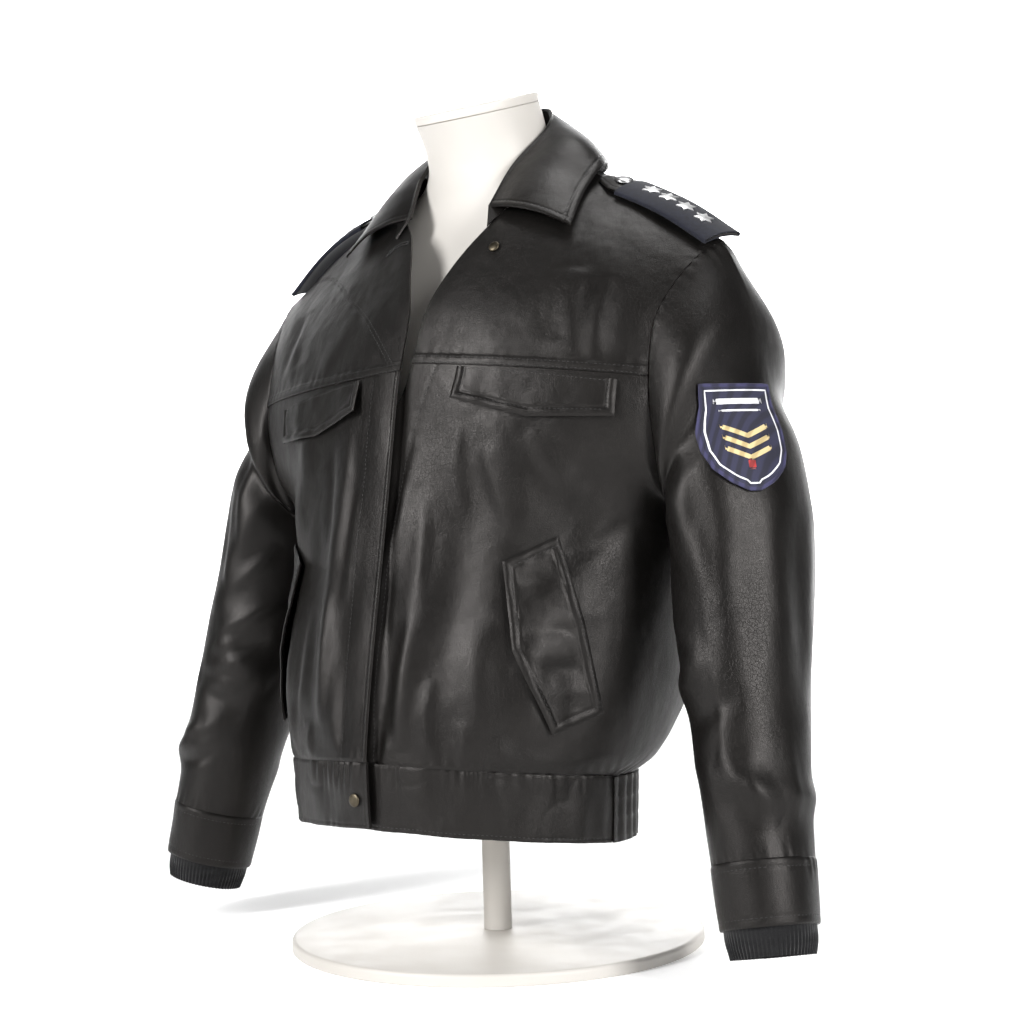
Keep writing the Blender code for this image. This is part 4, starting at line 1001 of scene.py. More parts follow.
def elastic_look():
    """The waistband's back, gathered on elastic into small uneven ruffles."""
    fine = np.linspace(0, 1, 250)
    halves = []
    for side in (RIGHT, LEFT):
        inner, outer, _ = PANELS["back"]
        halves.append(panel(inner, outer, np.zeros((1, 1)), fine[None, :])[0] * (side, 1, 1))
    top = np.concatenate([halves[0][::-1], halves[1][1:]])
    drops = spread((0, 1, 20))[::-1]
    rows = band_rows(top, drops)
    away = unit((top - BAND_MIDDLE) * (1, 1, 0))
    along = run_lengths(rows, 1)
    share = along / along[:, -1:]
    line = np.stack([along / 0.012, drops[:, None] * 1.3 + 0 * along, 0 * along], -1)
    phase = 2 * ELASTIC_BUMPS * 2 * math.pi * share * 1.5 + 1.7 * ripple(line, 1.9, 41.0)
    wave = ELASTIC_BUMP * 1.3 * (np.cos(phase) - 1) / 2 * (0.8 + 0.35 * ripple(line, 2.7, 43.0))
    ends = np.clip(share * 60, 0, 1) * np.clip((1 - share) * 60, 0, 1)
    rows_of_thread = sum(bell(drops - d, 0.03) for d in (0.06, 0.36, 0.66, 0.94))[:, None]
    height = wave * ends * (1 - 0.55 * rows_of_thread) - 0.0004 * rows_of_thread
    rows = rows + away * height[..., None]
    rows[..., 2] -= ELASTIC_DROP * (1 - drops[:, None])
    return rows


def collar_look():
    """Stand and leaf, the leaf topstitched and rolled along its edges."""
    def fine(named_rows):
        count = len(named_rows) - 2
        at = spread((0, count - 0.25, 78), (count - 0.25, count, 14))
        half = np.stack(list(read(named_rows, at).values()), axis=-1)
        over = half.copy()
        over[:, 0] -= np.interp(at, range(count + 1), COLLAR_SHIFT)
        over[:, 2] += np.interp(at, range(count + 1), COLLAR_LIFT)
        return np.concatenate([over[:0:-1] * (-1, 1, 1), half])
    seam, roll, edge = (fine(t) for t in (COLLAR_SEAM, COLLAR_ROLL, COLLAR_EDGE))
    steps = spread((0, 1, 20))[:, None, None]
    stand = seam + (roll - seam) * steps
    steps = spread((0, 0.8, 36), (0.8, 1, 16))[:, None, None]
    leaf = roll + (edge - roll) * steps
    out = grid_normals(leaf)
    down, low, first, last = from_edges(leaf)
    height = COLLAR_CROWN * np.sin(math.pi * steps[..., 0])
    for distance in (low, first, last):
        height = height + worked(distance, COLLAR_RELIEF)
    height = height + 0.0012 * bell(np.minimum(first, last), 0.045) * np.clip(down / 0.02, 0, 1)
    height += puckers(low - EDGE_IN, first, 51.0, 0.0003, 0.006, 0.010)
    height += 0.0008 * ripple(leaf, 0.040, 53.0) + 0.0003 * ripple(leaf, 0.016, 55.0)
    return stand, leaf + out * height[..., None]


def to_line(point, line):
    """Distance from a flat point to a broken line."""
    best = 9.0
    for a, b in zip(line, line[1:]):
        a, b = np.array(a), np.array(b)
        run = b - a
        at = np.clip((point - a) @ run / (run @ run), 0, 1)
        best = min(best, np.hypot(*(point - a - at * run)))
    return best


def flap_look(tree, first, second, turn, side, shift, counts, free, corner, dents=()):
    """A flap between two broken lines, with free edges that are rounded and topstitched.

    free lists the flap's free edges as broken lines. corner is the place that lifts off
    (x, z, height, reach), and how far the free edge stands off as a whole.
    """
    rows = []
    for j in range(counts[1] + 1):
        row = []
        for i in range(counts[0] + 1):
            start, end = between(first, i / counts[0]), between(second, i / counts[0])
            spot = start + (end - start) * j / counts[1]
            edge = min(to_line(spot, line) for line in free)
            lift = LAY + FLAP + worked(edge, FLAP_RELIEF)
            lift += corner[4] * (j / counts[1]) ** 2
            place = np.array([spot[0], spot[1], 0.0])
            lift += 0.0005 * ripple(place, 0.014, turn + side)
            lift += 0.0003 * math.sin(260 * (spot[0] + spot[1])) * bell(edge - EDGE_IN, 0.004)
            lift += corner[2] * bell(np.hypot(*(spot - corner[:2])), corner[3])
            for x, z, wide, high in dents:
                lift += high * bell(np.hypot((spot[0] - x) * 0.35, spot[1] - z), wide)
            row.append(drop_on(tree, spot[0] + shift[0], spot[1] + shift[1], turn, side, lift))
        rows.append(row)
    return np.array(rows)


def strap_look(side):
    """The leather shoulder strap, its edges topstitched."""
    widths = np.linspace(-1, 1, 41)
    rows = []
    for share in np.linspace(0, 1, 90):
        place, aft, up = strap_at(share, side)
        half = STRAP_WIDE / 2 * min(1, 0.55 + 3 * share)
        edge = (1 - abs(widths)) * half
        arch = STRAP_ARCH * (0.5 - widths**2) + worked(edge, STRAP_RELIEF)
        rows.append(place + np.outer(widths * half, aft) + np.outer(arch, up))
    return np.array(rows) * (side, 1, 1)


def slide_look(side):
    """The cloth slide, a flattened tube round the strap."""
    turn = np.linspace(0, 2 * math.pi, 80, endpoint=False)
    across = np.sign(np.cos(turn)) * abs(np.cos(turn)) ** 0.5
    level = np.sign(np.sin(turn)) * abs(np.sin(turn)) ** 0.35
    rows = []
    for share in np.linspace(SLIDE_FROM, SLIDE_TO, 44):
        place, aft, up = strap_at(share, side)
        bowed = 0.5 - (across * SLIDE_WIDE / STRAP_WIDE) ** 2
        soft = 0.0006 * math.sin(9 * share + side)
        arch = STRAP_ARCH * bowed - STRAP_THICK / 2 + level * (SLIDE_HALF + soft * 0.3)
        rows.append(place + np.outer(across * SLIDE_WIDE / 2, aft) + np.outer(arch, up))
    return np.array(rows) * (side, 1, 1)


def lathe(name, profile, place, axis, material, sides=96, crisp=30):
    """A closed round piece from a profile of radius and height along its axis."""
    axis = Vector(axis).normalized()
    swing = np.array(Vector((0, 0, 1)).rotation_difference(axis).to_matrix())
    angles = np.linspace(0, 2 * math.pi, sides, endpoint=False)
    rings = [np.stack([r * np.cos(angles), r * np.sin(angles), h + 0 * angles], 1)
             for r, h in profile]
    points = np.concatenate(rings) @ swing.T + np.array(place)
    faces = []
    for i in range(len(profile) - 1):
        for k in range(sides):
            n = (k + 1) % sides
            faces.append([i * sides + k, i * sides + n, (i + 1) * sides + n, (i + 1) * sides + k])
    faces.append(list(range(sides))[::-1])
    faces.append([(len(profile) - 1) * sides + k for k in range(sides)])
    return mesh_object(name, points, faces, material, crisp)


def rounded(radius, high, edge, steps=6):
    """A disc's profile with a rounded upper edge."""
    turns = np.linspace(0, math.pi / 2, steps)
    rim = [(radius - edge + edge * math.cos(a), high - edge + edge * math.sin(a)) for a in turns]
    return [(radius - edge * 0.3, 0), (radius, edge * 0.3)] + rim


def button_profile(radius, high):
    """A domed metal button with a rim."""
    dome = [(radius * math.cos(a), high * (0.35 + 0.65 * math.sin(a)))
            for a in np.linspace(0.15, 1.5, 9)]
    return [(radius * 0.9, 0), (radius, high * 0.12), (radius, high * 0.34)] + dome


def star(middle, along, across, up, radius, high):
    """A raised six-pointed star, its points ridged towards the middle."""
    points = [middle + up * high]
    for k in range(12):
        a = math.pi * k / 6
        r = radius * (1.0 if k % 2 == 0 else 0.56)
        spoke = along * r * math.cos(a) + across * r * math.sin(a)
        points.append(middle + spoke + up * high * 0.3)
    points += [p - up * high * 0.6 for p in points[1:]]
    faces = []
    for k in range(12):
        n = (k + 1) % 12
        faces.append([0, 1 + k, 1 + n])
        faces.append([1 + k, 13 + k, 13 + n, 1 + n])
    faces.append([13 + k for k in range(12)][::-1])
    return np.array([np.array(p) for p in points]), faces


def form_look(material):
    """The dress form's smooth body."""
    sides, count = 96, len(FORM) - 2
    angles = np.linspace(0, 2 * math.pi, sides, endpoint=False)
    rings = read(FORM, np.linspace(0, count, 110))
    across = rings["across"][:, None] * np.cos(angles)
    deep = rings["y"][:, None] + rings["deep"][:, None] * np.sin(angles)
    points = np.stack([across, deep, np.repeat(rings["z"][:, None], sides, 1)], -1)
    slant = math.tan(math.radians(NECK_TILT))
    rise = np.clip((points[..., 2] - NECK_FROM) / (FORM[-1][0] - NECK_FROM), 0, 1)
    points[..., 2] += rise * (points[..., 1] - FORM[-1][1]) * slant
    rows = len(points)
    faces = [[i * sides + j, i * sides + (j + 1) % sides, (i + 1) * sides + (j + 1) % sides,
              (i + 1) * sides + j] for i in range(rows - 1) for j in range(sides)]
    faces += [list(range(sides))[::-1], [(rows - 1) * sides + j for j in range(sides)]]
    return mesh_object("look_form_body", points.reshape(-1, 3), faces, material, 50)


class Look:
    """A material's nodes, added one after another."""

    def __init__(self, name):
        self.material = bpy.data.materials.new(name)
        self.material.use_nodes = True
        self.nodes = self.material.node_tree.nodes
        self.links = self.material.node_tree.links
        self.shader = self.nodes["Principled BSDF"]
        self.place = self.add("ShaderNodeTexCoord").outputs["Object"]

    def add(self, kind, **values):
        node = self.nodes.new(kind)
        for key, value in values.items():
            if key in node.inputs:
                node.inputs[key].default_value = value
            else:
                setattr(node, key, value)
        return node

    def plain(self, **values):
        for key, value in values.items():
            name = key.replace("_", " ")
            self.shader.inputs[name].default_value = value

    def join(self, source, node, socket):
        self.links.new(source, node.inputs[socket])

    def noise(self, scale, detail=3.0, stretch=None, rough=0.5):
        node = self.add("ShaderNodeTexNoise", Scale=scale, Detail=detail, Roughness=rough)
        self.join(self.stretched(stretch) if stretch else self.place, node, "Vector")
        return node.outputs["Fac"]

    def cells(self, scale, vector):
        node = self.add("ShaderNodeTexVoronoi", feature="DISTANCE_TO_EDGE", Scale=scale)
        self.join(vector, node, "Vector")
        return node.outputs["Distance"]

    def stretched(self, stretch):
        node = self.add("ShaderNodeVectorMath", operation="MULTIPLY")
        self.join(self.place, node, 0)
        node.inputs[1].default_value = stretch
        return node.outputs[0]

    def warped(self, scale, amount):
        node = self.add("ShaderNodeTexNoise", Scale=scale, Detail=2.0)
        self.join(self.place, node, "Vector")
        bend = self.add("ShaderNodeVectorMath", operation="MULTIPLY_ADD")
        self.join(node.outputs["Color"], bend, 0)
        bend.inputs[1].default_value = (amount,) * 3
        self.join(self.place, bend, 2)
        return bend.outputs[0]

    def ramp(self, source, *stops):
        """stops are (place, value or colour)."""
        node = self.add("ShaderNodeValToRGB")
        self.join(source, node, "Fac")
        elements = node.color_ramp.elements
        while len(elements) < len(stops):
            elements.new(0.5)
        for element, (at, value) in zip(elements, stops):
            element.position = at
            element.color = (*value, 1) if isinstance(value, tuple) else (value,) * 3 + (1,)
        return node.outputs["Color"]

    def math(self, operation, a, b):
        node = self.add("ShaderNodeMath", operation=operation)
        for k, value in enumerate((a, b)):
            if isinstance(value, (int, float)):
                node.inputs[k].default_value = value
            else:
                self.links.new(value, node.inputs[k])
        return node.outputs[0]

    def bump(self, height, distance, strength=1.0, normal=None):
        node = self.add("ShaderNodeBump", Distance=distance, Strength=strength)
        self.join(height, node, "Height")
        if normal:
            self.join(normal, node, "Normal")
        return node.outputs["Normal"]

    def finish(self, colour=None, rough=None, normal=None):
        if colour:
            self.join(colour, self.shader, "Base Color")
        if rough:
            self.join(rough, self.shader, "Roughness")
        if normal:
            self.join(normal, self.shader, "Normal")
        return self.material


def leather_look(name, wrinkled=1.0):
    """Near-black smooth leather: grain, fine creases, a soft uneven gloss."""
    look = Look(name)
    look.plain(IOR=1.5, Specular_IOR_Level=0.25, Specular_Tint=(1.0, 0.95, 0.92, 1))
    grain = look.cells(760.0, look.warped(260.0, 0.0014))
    grain = look.ramp(grain, (0.0, 0.0), (0.16, 1.0))
    web = look.cells(250.0, look.warped(110.0, 0.0060))
    web = look.ramp(web, (0.0, 0.0), (0.05, 1.0))
    worn = look.ramp(look.noise(11.0, 2.0), (0.42, 0.0), (0.62, 1.0))
    web_here = look.math("MULTIPLY_ADD", look.math("SUBTRACT", web, 1.0), worn)
    web_here.node.inputs[2].default_value = 1.0
    soft = look.noise(24.0, 3.0, (1.0, 1.0, 0.50))
    fine = look.noise(95.0, 4.0, (1.0, 1.0, 0.7), 0.6)
    normal = look.bump(soft, 0.0030, 0.40 * wrinkled)
    normal = look.bump(fine, 0.0008, 0.35 * wrinkled, normal)
    normal = look.bump(web_here, 0.00016, 0.5 * wrinkled, normal)
    normal = look.bump(grain, 0.00010, 0.5, normal)
    colour = look.ramp(look.noise(14.0, 4.0), (0.3, (0.0042, 0.0038, 0.0036)),
                       (0.7, (0.0074, 0.0067, 0.0062)))
    rough = look.ramp(look.noise(18.0, 4.0), (0.30, 0.31), (0.70, 0.42))
    return look.finish(colour, rough, normal)


def cloth_look(name, low, high, weave):
    """A woven or felted cloth: two crossed waves with a little fuzz."""
    look = Look(name)
    look.plain(Roughness=0.9, Sheen_Weight=0.15, Sheen_Roughness=0.5,
               Specular_IOR_Level=0.25)
    heights = []
    for direction in ("X", "Y", "Z"):
        wave = look.add("ShaderNodeTexWave", bands_direction=direction, Scale=weave / 20,
                        Distortion=1.5, Detail=1.0)
        look.join(look.place, wave, "Vector")
        heights.append(wave.outputs["Fac"])
    weave_height = look.math("MULTIPLY", look.math("ADD", heights[0], heights[1]), heights[2])
    fuzz = look.noise(900.0, 3.0)
    total = look.math("ADD", weave_height, fuzz)
    colour = look.ramp(look.noise(220.0, 4.0), (0.3, low), (0.7, high))
    return look.finish(colour, None, look.bump(total, 0.00010, 0.3))


def knit_material(name):
    """Black rib knit, its rows of loops across the ribs."""
    look = Look(name)
    look.plain(Roughness=0.95, Sheen_Weight=0.2, Specular_IOR_Level=0.2)
    rows = look.add("ShaderNodeTexWave", bands_direction="Z", Scale=32.0, Distortion=1.2,
                    Detail=2.0)
    look.join(look.place, rows, "Vector")
    fuzz = look.noise(1200.0, 4.0)
    total = look.math("ADD", rows.outputs["Fac"], fuzz)
    colour = look.ramp(fuzz, (0.3, (0.004, 0.004, 0.0045)), (0.7, (0.012, 0.012, 0.013)))
    return look.finish(colour, None, look.bump(total, 0.0004, 0.7))


def metal_look(name, low, high, rough, grain=60.0):
    """Metal with an uneven tone and polish."""
    look = Look(name)
    look.plain(Metallic=1.0)
    colour = look.ramp(look.noise(grain, 4.0), (0.3, low), (0.7, high))
    uneven = look.ramp(look.noise(grain * 3, 4.0), (0.3, rough * 0.8), (0.7, rough * 1.3))
    return look.finish(colour, uneven, look.bump(look.noise(grain * 12, 2.0), 0.0001, 0.15))


def thread_look(name, low, high):
    """Embroidery: close parallel threads with a slight shine."""
    look = Look(name)
    look.plain(Roughness=0.75, Sheen_Weight=0.1)
    wave = look.add("ShaderNodeTexWave", bands_direction="X", Scale=45.0, Distortion=0.8,
                    Detail=1.0)
    look.join(look.place, wave, "Vector")
    colour = look.ramp(wave.outputs["Fac"], (0.2, low), (0.7, high))
    return look.finish(colour, None, look.bump(wave.outputs["Fac"], 0.0002, 0.6))


def form_material(name):
    """Warm white painted form with a faint cloth-like unevenness."""
    look = Look(name)
    look.plain(IOR=1.45)
    grain = look.noise(420.0, 4.0)
    colour = look.ramp(look.noise(7.0, 3.0), (0.3, (0.55, 0.522, 0.484)),
                       (0.7, (0.59, 0.565, 0.530)))
    rough = look.ramp(look.noise(30.0, 3.0), (0.3, 0.42), (0.7, 0.55))
    return look.finish(colour, rough, look.bump(grain, 0.0002, 0.25))


def simple_scene():
    """Floor and backdrop, soft lights and the camera at the photograph's angle."""
    world = bpy.data.worlds.new("studio")
    bpy.context.scene.world = world
    world.use_nodes = True
    back = world.node_tree.nodes["Background"]
    back.inputs["Color"].default_value = (1.0, 1.0, 1.0, 1)
    back.inputs["Strength"].default_value = WORLD_LIGHT
    floor_look = Look("studio_floor")
    floor_look.plain(Roughness=0.9, Emission_Strength=0.22, Emission_Color=(1, 1, 1, 1))
    tone = floor_look.ramp(floor_look.noise(3.0), (0.3, 0.93), (0.7, 0.95))
    floor_look.finish(tone)
    bend, reach, high = 1.2, 6.0, 5.0
    line = [(-4.0, 0.0), (reach - bend, 0.0)]
    line += [(reach - bend + bend * math.sin(a), bend - bend * math.cos(a))
             for a in np.linspace(0.1, math.pi / 2, 14)]
    line.append((reach, high))
    points, faces = [], []
    for out, up in line:
        for side in (-7.0, 7.0):
            ahead = np.array([-math.sin(VIEW), math.cos(VIEW), 0])
            right = np.array([math.cos(VIEW), math.sin(VIEW), 0])
            points.append(ahead * out + right * side + np.array([0, 0, up]))
    for k in range(len(line) - 1):
        faces.append([2 * k, 2 * k + 1, 2 * k + 3, 2 * k + 2])
    floor = mesh_object("studio_floor", points, faces, floor_look.material, 60)
    for name, spot, aim, size, power in LAMPS:
        lamp = bpy.data.lights.new(name, "AREA")
        lamp.shape, lamp.size, lamp.size_y = "RECTANGLE", size[0], size[1]
        lamp.energy = power
        item = bpy.data.objects.new(name, lamp)
        bpy.context.scene.collection.objects.link(item)
        item.location = spot
        item.rotation_euler = (Vector(aim) - Vector(spot)).to_track_quat("-Z", "Y").to_euler()
    camera = bpy.data.cameras.new("camera")
    camera.sensor_width, camera.lens = 36.0, FOCAL * 36.0 / 1024
    camera.shift_x, camera.shift_y = SHIFT
    view = bpy.data.objects.new("camera", camera)
    bpy.context.scene.collection.objects.link(view)
    turn = Matrix.Rotation(VIEW, 4, "Z") @ Matrix.Rotation(math.pi / 2, 4, "X")
    turn = turn @ Matrix.Rotation(ROLL, 4, "Z")
    spot = (DISTANCE * math.sin(VIEW), -DISTANCE * math.cos(VIEW), EYE)
    view.matrix_world = Matrix.Translation(spot) @ turn
    bpy.context.scene.camera = view
    bpy.context.scene.view_settings.view_transform = "Standard"


# Camera: its turn about the part, distance, height, roll and focal length in pixels
VIEW, DISTANCE, EYE = math.radians(40), 2.0, 0.42
FOCAL, ROLL = 2000.0, -0.03
SHIFT = (26 / 1024, 8 / 1024)
WORLD_LIGHT = 0.12
LAMPS = (
    ("key", (-0.8, -2.7, 1.6), (0.0, 0.0, 0.45), (0.6, 1.4), 98.0),
    ("side", (2.9, -0.9, 1.3), (0.1, 0.0, 0.45), (0.6, 1.8), 92.0),
    ("top", (0.2, 0.4, 2.6), (0.0, 0.0, 0.5), (1.2, 0.8), 18.0),
    ("back", (-1.5, 3.0, 2.4), (-3.2, 6.0, 0.8), (3.0, 3.0), 520.0),
)


def body_pieces(looks):
    """Fronts, yokes, back, sleeves, cuffs, knits, waistband and collar."""
    leather = looks["leather"]
    made, grids = {}, {}
    for side in (LEFT, RIGHT):
        where, flip = word(side), side == RIGHT
        parts = fronts(side)
        grids["front", side], grids["yoke", side] = parts["front"], parts["yoke"]
        for part in ("front", "yoke"):
            name = f"{part}_{where}"
            made[name] = cloth("look_" + name, parts[part], leather, WALL, flip)
        sleeve, angles, top = sleeve_look(side)
        grids["sleeve", side] = sleeve
        made[f"sleeve_{where}"] = cloth(f"look_sleeve_{where}", sleeve, leather, WALL,
                                        side == LEFT, True)
        cuff = cuff_look(side, angles, top)
        grids["cuff", side] = cuff
        made[f"cuff_{where}"] = cloth(f"look_cuff_{where}", cuff, leather, WALL,
                                      side == LEFT, True)
        made[f"knit_cuff_{where}"] = cloth(f"look_knit_cuff_{where}", knit_look(side),
                                           looks["knit"], THIN_WALL, side == LEFT, True)
        band = band_look(side)
        grids["band", side] = band
        made[f"band_{where}"] = cloth(f"look_band_{where}", band, leather, BAND_WALL, flip)
    made["back"] = cloth("look_back", back_look(), leather, WALL)
    made["band_back"] = cloth("look_band_back", elastic_look(), looks["elastic"], THIN_WALL)
    stand, leaf = collar_look()
    grids["leaf"] = leaf
    made["collar_stand"] = cloth("look_collar_stand", stand, leather, WALL)
    made["collar_leaf"] = cloth("look_collar_leaf", leaf, leather, WALL)
    for name, item in made.items():
        wear(item, name)
    return made, grids


def tree_from(items):
    points, faces = [], []
    for item in items:
        base = len(points)
        points += [v.co.copy() for v in item.data.vertices]
        faces += [[base + v for v in face.vertices] for face in item.data.polygons]
    return BVHTree.FromPolygons(points, faces)


def flap_pieces(made, looks):
    """Chest and pocket flaps with their topstitching."""
    stitches = []
    for side in (LEFT, RIGHT):
        where = word(side)
        tree = tree_from([made[f"front_{where}"], made[f"yoke_{where}"]])
        for (node, top, low, turn, shift, columns, rows, x, z, high, reach, off, width,
             length) in FLAPS[1:]:
            pocket = node == "pocket_flap"
            ends = [[top[0], low[0]], [top[-1], low[-1]]]
            grid = flap_look(tree, top, low, turn, side,
                             [s * (side == RIGHT) for s in shift], (columns, rows),
                             [low, *([top] if pocket else []), *ends],
                             (x, z, high, reach, off), POCKET_DENTS if pocket else ())
            item = cloth(f"look_{node}_{where}", grid, looks["leather"], FLAP, side == LEFT)
            wear(item, f"{node}_{where}")
            stitches += flap_stitches(grid, side)
    joined("look_flap_stitches", stitches, looks["thread"])


def sewn_inside(points, normals, column, row):
    """Topstitching inside a grid's last row and both sides, which start at a row."""
    _, low, first, last = from_edges(points)
    k = nearest(low[:, column], EDGE_IN)
    ends = nearest(first[k], EDGE_IN), nearest(last[k], EDGE_IN)
    lines = sewn(points[k, ends[0]:ends[1] + 1], normals[k, ends[0]:ends[1] + 1])
    for i in ends:
        lines += sewn(points[row:k + 1, i], normals[row:k + 1, i])
    return lines


def flap_stitches(rows, side):
    """Topstitching all round a flap's grid."""
    normals = grid_normals(rows) * -side
    lines = sewn_inside(rows, normals, rows.shape[1] // 2, 2)
    return lines + sewn(rows[2, 2:-2], normals[2, 2:-2])


def trim_pieces(made, looks):
    """Shoulder straps, slides, stars, buttons, snap and buttonhole; returns their stitches."""
    lines = []
    for side in (LEFT, RIGHT):
        where = word(side)
        rows = strap_look(side)
        item = cloth(f"look_strap_{where}", rows, looks["leather"], STRAP_THICK, side == LEFT)
        wear(item, f"strap_{where}")
        normals = grid_normals(rows) * (-1 if side == LEFT else 1)
        for column in (5, 35):
            lines += sewn(rows[:, column], normals[:, column])
        slide = slide_look(side)
        item = cloth(f"look_rank_slide_{where}", slide, looks["slide"], SLIDE_WALL,
                     side == RIGHT, True)
        wear(item, f"rank_slide_{where}")
        made_stars = []
        for share in STAR_AT:
            place, aft, up = strap_at(share, side)
            along, _, _ = strap_at(share + 0.02, side)
            run = unit(along - place)
            place = place + up * (STRAP_ARCH / 2 + SLIDE_HALF - STRAP_THICK / 2 + 0.0002)
            points, faces = star(place, run, aft, up, STAR_RADIUS, STAR_HIGH)
            if side == RIGHT:
                faces = [face[::-1] for face in faces]
            made_stars.append((points * (side, 1, 1), faces))
        joined(f"look_stars_{where}", made_stars, looks["silver"])
        place, _, up = strap_at(BUTTON_AT, side)
        place = place + up * (STRAP_ARCH / 2 + SEAM)
        item = lathe(f"look_strap_button_{where}", button_profile(BUTTON_RADIUS, BUTTON_HIGH),
                     place * (side, 1, 1), up * (side, 1, 1), looks["button"])
        wear(item, f"strap_button_{where}")
    lines += buttonhole(tree_from([made["yoke_right"]]))
    tree = tree_from([made["yoke_left"]])
    across, up, radius = NECK_BUTTON
    place = drop_on(tree, across, up, 10, LEFT, LAY)
    item = lathe("look_neck_button", button_profile(radius, 0.0025), place,
                 (0.15, -0.85, 0.5), looks["bronze"])
    wear(item, "neck_button")
    tree = tree_from([made["band_right"]])
    place = drop_on(tree, 0, SNAP_AT, 0, RIGHT, LAY)
    item = lathe("look_band_snap", button_profile(SNAP_RADIUS, SNAP_HIGH), place,
                 (0, -1, 0), looks["bronze"])
    wear(item, "band_snap")
    return lines


BUTTONHOLE = ((0.0536, 0.6828), (0.0440, 0.6905), (0.0330, 0.6930), (0.0221, 0.6930))


def buttonhole(tree):
    """Close stitches round the right front's upper buttonhole."""
    line = []
    for offset, order in ((0.0013, 1), (-0.0013, -1)):
        spots = [(x, z + offset) for x, z in BUTTONHOLE][::order]
        for a, b in zip(spots, spots[1:]):
            line += [np.array(a) + (np.array(b) - a) * t for t in np.linspace(0, 1, 9)[:-1]]
    line.append(line[0])
    low = np.array([drop_on(tree, x, z, 0, RIGHT, 0.0002) for x, z in line])
    high = np.array([drop_on(tree, x, z, 0, RIGHT, 0.0012) for x, z in line])
    return sewn(low, unit(high - low), 0.00055, 0.0020, 0.0022)


STAR_AT, STAR_RADIUS, STAR_HIGH = (0.42, 0.56, 0.70, 0.84), 0.0102, 0.0016


def patch_pieces(made, looks):
    """The sleeve patch: a shield with a bound edge, an inner line and plain motifs."""
    tree = tree_from([made["sleeve_left"]])
    lift = 1.8 * LAY + PATCH_THICK
    outline = table(PATCH_OUTLINE)

    def half_at(down):
        return float(np.interp(down, outline["down"], outline["half"]))

    def spot(across, down, extra=0.0):
        up = PATCH_MIDDLE[1] + PATCH_TALL * (0.5 - down)
        return np.array(drop_on(tree, PATCH_MIDDLE[0] + across, up, PATCH_TURN, LEFT,
                                lift + extra))

    rows = np.array([[spot(half_at(down) * share, down) for share in np.linspace(-1, 1, 33)]
                     for down in np.linspace(0, 1, 41)])
    item = cloth("look_sleeve_patch", rows, looks["patch"], PATCH_THICK, True)
    wear(item, "sleeve_patch")

    def rope(line, wide, high, closed=True):
        """A low rounded cord laid along a line of (across, down) spots."""
        count = len(line)
        points, faces = [], []
        for k in range(count):
            ahead = np.array(line[(k + 1) % count]) - np.array(line[k - 1])
            ahead = ahead * (1, PATCH_TALL)
            normal = np.array([ahead[1], -ahead[0]]) / max(np.hypot(*ahead), 1e-9)
            for step, rise in ((-1, -0.0004), (-0.75, high * 0.7), (0, high), (0.75, high * 0.7),
                               (1, -0.0004)):
                a = line[k][0] + normal[0] * wide / 2 * step
                d = line[k][1] + normal[1] * wide / 2 * step / PATCH_TALL
                points.append(spot(a, d, rise))
        for k in range(count if closed else count - 1):
            n = (k + 1) % count
            for c in range(5):
                m = (c + 1) % 5
                faces.append([k * 5 + c, k * 5 + m, n * 5 + m, n * 5 + c])
        if not closed:
            faces.append([0, 4, 3, 2, 1])
            faces.append([(count - 1) * 5 + c for c in range(5)])
        return np.array(points), faces

    def shield(shrink):
        """The outline as a closed line, drawn in by a distance."""
        downs = np.linspace(0, 1, 30)
        tall = shrink / PATCH_TALL
        right = [(half_at(d) - shrink, tall + d * (1 - 2 * tall)) for d in downs]
        right = [(max(a, 0.004), d) for a, d in right]
        top = [(a, tall) for a in np.linspace(-right[0][0], right[0][0], 16)[1:-1]]
        low = [(a, 1 - tall) for a in np.linspace(right[-1][0], -right[-1][0], 6)[1:-1]]
        left = [(-a, d) for a, d in right[::-1]]
        return right + low + left + top

    pieces = (
        ("look_patch_edge", [rope(shield(0.0012), 0.0036, 0.0007)], "binding"),
        ("look_patch_line", [rope(shield(0.0060), 0.0018, 0.0004)], "white_thread"),
        ("look_patch_bars", [rope([(a, 0.17) for a in np.linspace(-0.024, 0.024, 17)],
                                  0.0062, 0.0005, False),
                             rope([(a, 0.26) for a in np.linspace(-0.020, 0.020, 15)],
                                  0.0022, 0.0004, False)], "white_thread"),
        ("look_patch_chevrons", [rope([(a, 0.50 + step - abs(a) * 4.2)
                                       for a in np.linspace(-0.022, 0.022, 23)],
                                      0.0050, 0.0005, False)
                                 for step in (0.0, 0.10, 0.20)], "gold_thread"),
        ("look_patch_diamond", [rope([(0.0, 0.76 + 0.05 * t) for t in np.linspace(-1, 1, 7)],
                                     0.0075, 0.0005, False)], "red_thread"),
    )
    for name, meshes, look in pieces:
        joined(name, meshes, looks[look])


def placket_stitches(points, side):
    """Two stitched lines along the right yoke's slanting seam."""
    normals = grid_normals(points) * side
    along, down = run_lengths(points, 1), run_lengths(points, 0)
    lines = []
    for offset in PLACKET_STITCHES:
        line, ups = [], []
        for r in range(2, len(points) - 2):
            wanted = PLACKET_FROM + PLACKET_LEAN * down[r] - offset
            for values, found in ((points, line), (normals, ups)):
                found.append([np.interp(wanted.mean(), along[r], values[r, :, c])
                              for c in range(3)])
        lines += sewn(line[8:], ups[8:])
    return lines


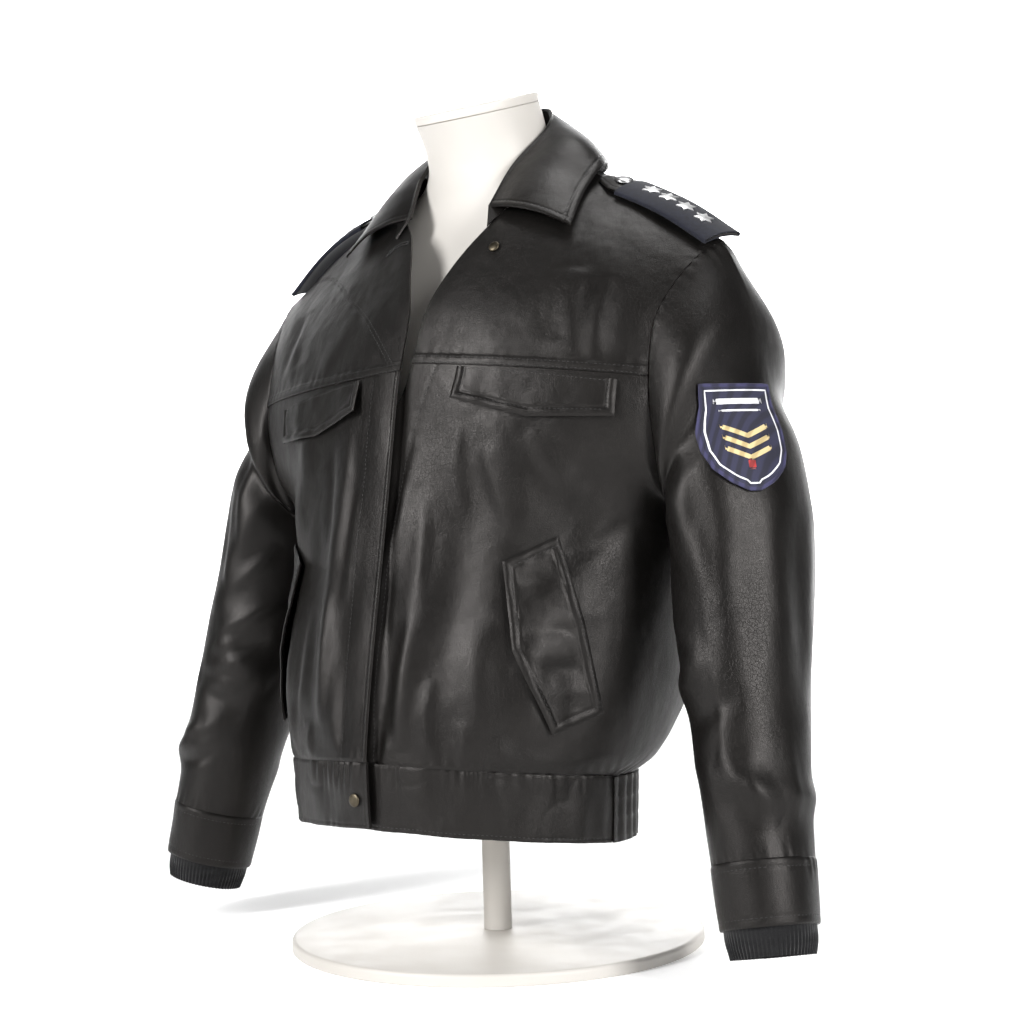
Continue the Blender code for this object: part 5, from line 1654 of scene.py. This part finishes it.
def seam_stitches(grids):
    """Stitching along the yoke, front edges, waistband, cuffs and collar."""
    lines = []
    for side in (LEFT, RIGHT):
        points = grids["yoke", side]
        normals = grid_normals(points) * side
        down = run_lengths(points, 0)
        for offset in YOKE_STITCHES:
            k = nearest(down[:, COUNTED], offset)
            lines += sewn(points[k, 3:-2], normals[k, 3:-2])
        points = grids["front", side]
        normals = grid_normals(points) * side
        along = run_lengths(points, 1)
        offsets = (EDGE_STITCHES, PLACKET_LINE) if side == RIGHT else (FACING_LINE,)
        for offset in offsets:
            line, up = ([[np.interp(offset, along[r], values[r, :, c]) for c in range(3)]
                         for r in range(2, len(points) - 2)] for values in (points, normals))
            lines += sewn(line, up)
        if side == RIGHT:
            lines += placket_stitches(grids["yoke", side], side)
        points = grids["band", side]
        normals = grid_normals(points) * side
        down = run_lengths(points, 0)
        k = nearest(down[:, COUNTED], BAND_STITCHES)
        lines += sewn(points[k, 3:-3], normals[k, 3:-3])
        points = grids["cuff", side]
        normals = grid_normals(points, True) * -side
        down = run_lengths(points, 0)
        for offset in (EDGE_IN, down[-1, 0] - EDGE_IN):
            k = nearest(down[:, 0], offset)
            lines += sewn(*(np.concatenate([v[k], v[k, :1]]) for v in (points, normals)))
    points = grids["leaf"]
    normals = grid_normals(points)
    return lines + sewn_inside(points, normals, COUNTED, 3)


def form_pieces(looks):
    """Dress form, neck cap, pole and base."""
    wear(form_look(looks["form"]), "form_body")
    tilt = math.radians(NECK_TILT)
    lean = (0, -math.sin(tilt), math.cos(tilt))
    top = (0, FORM[-1][1], FORM[-1][0] + SEAM)
    radius = FORM[-1][2] + 0.0015
    cap = [(radius - 0.0014, 0), (radius - 0.0003, 0.0008), (radius, 0.0022)]
    cap += [(radius - 0.0018 + 0.0018 * math.cos(a), CAP_HIGH - 0.0018 + 0.0018 * math.sin(a))
            for a in np.linspace(0, math.pi / 2, 6)]
    wear(lathe("look_form_cap", cap, top, lean, looks["form"]), "form_cap")
    pole_top = FORM[1][0] - SEAM
    wear(lathe("look_stand_pole", [(POLE_RADIUS, BASE_HIGH + SEAM), (POLE_RADIUS, pole_top)],
               (0, 0, 0), (0, 0, 1), looks["form"], 48), "stand_pole")
    wear(lathe("look_stand_base", rounded(BASE_RADIUS, BASE_HIGH, BASE_EDGE), (0, 0, 0),
               (0, 0, 1), looks["form"], 160), "stand_base")


def main():
    looks = {
        "leather": leather_look("look_leather"),
        "elastic": leather_look("look_elastic", 1.2),
        "knit": knit_material("look_knit"),
        "slide": cloth_look("look_slide", (0.003, 0.0035, 0.008), (0.007, 0.008, 0.017), 4200.0),
        "silver": metal_look("look_silver", (0.82, 0.82, 0.82), (0.95, 0.95, 0.95), 0.34),
        "button": metal_look("look_button", (0.36, 0.36, 0.37), (0.56, 0.56, 0.56), 0.30),
        "bronze": metal_look("look_bronze", (0.060, 0.050, 0.036), (0.14, 0.12, 0.085), 0.38),
        "patch": thread_look("look_patch", (0.006, 0.006, 0.020), (0.016, 0.016, 0.045)),
        "binding": thread_look("look_binding", (0.010, 0.009, 0.035), (0.030, 0.028, 0.085)),
        "white_thread": thread_look("look_white_thread", (0.66, 0.66, 0.68), (0.84, 0.84, 0.86)),
        "gold_thread": thread_look("look_gold_thread", (0.44, 0.34, 0.16), (0.62, 0.50, 0.26)),
        "red_thread": thread_look("look_red_thread", (0.20, 0.012, 0.012), (0.50, 0.03, 0.03)),
        "thread": thread_look("look_thread", (0.006, 0.006, 0.006), (0.020, 0.019, 0.018)),
        "form": form_material("look_form"),
    }
    simple_scene()
    made, grids = body_pieces(looks)
    flap_pieces(made, looks)
    lines = trim_pieces(made, looks)
    patch_pieces(made, looks)
    lines += seam_stitches(grids)
    joined("look_seam_stitches", lines, looks["thread"])
    form_pieces(looks)


main()
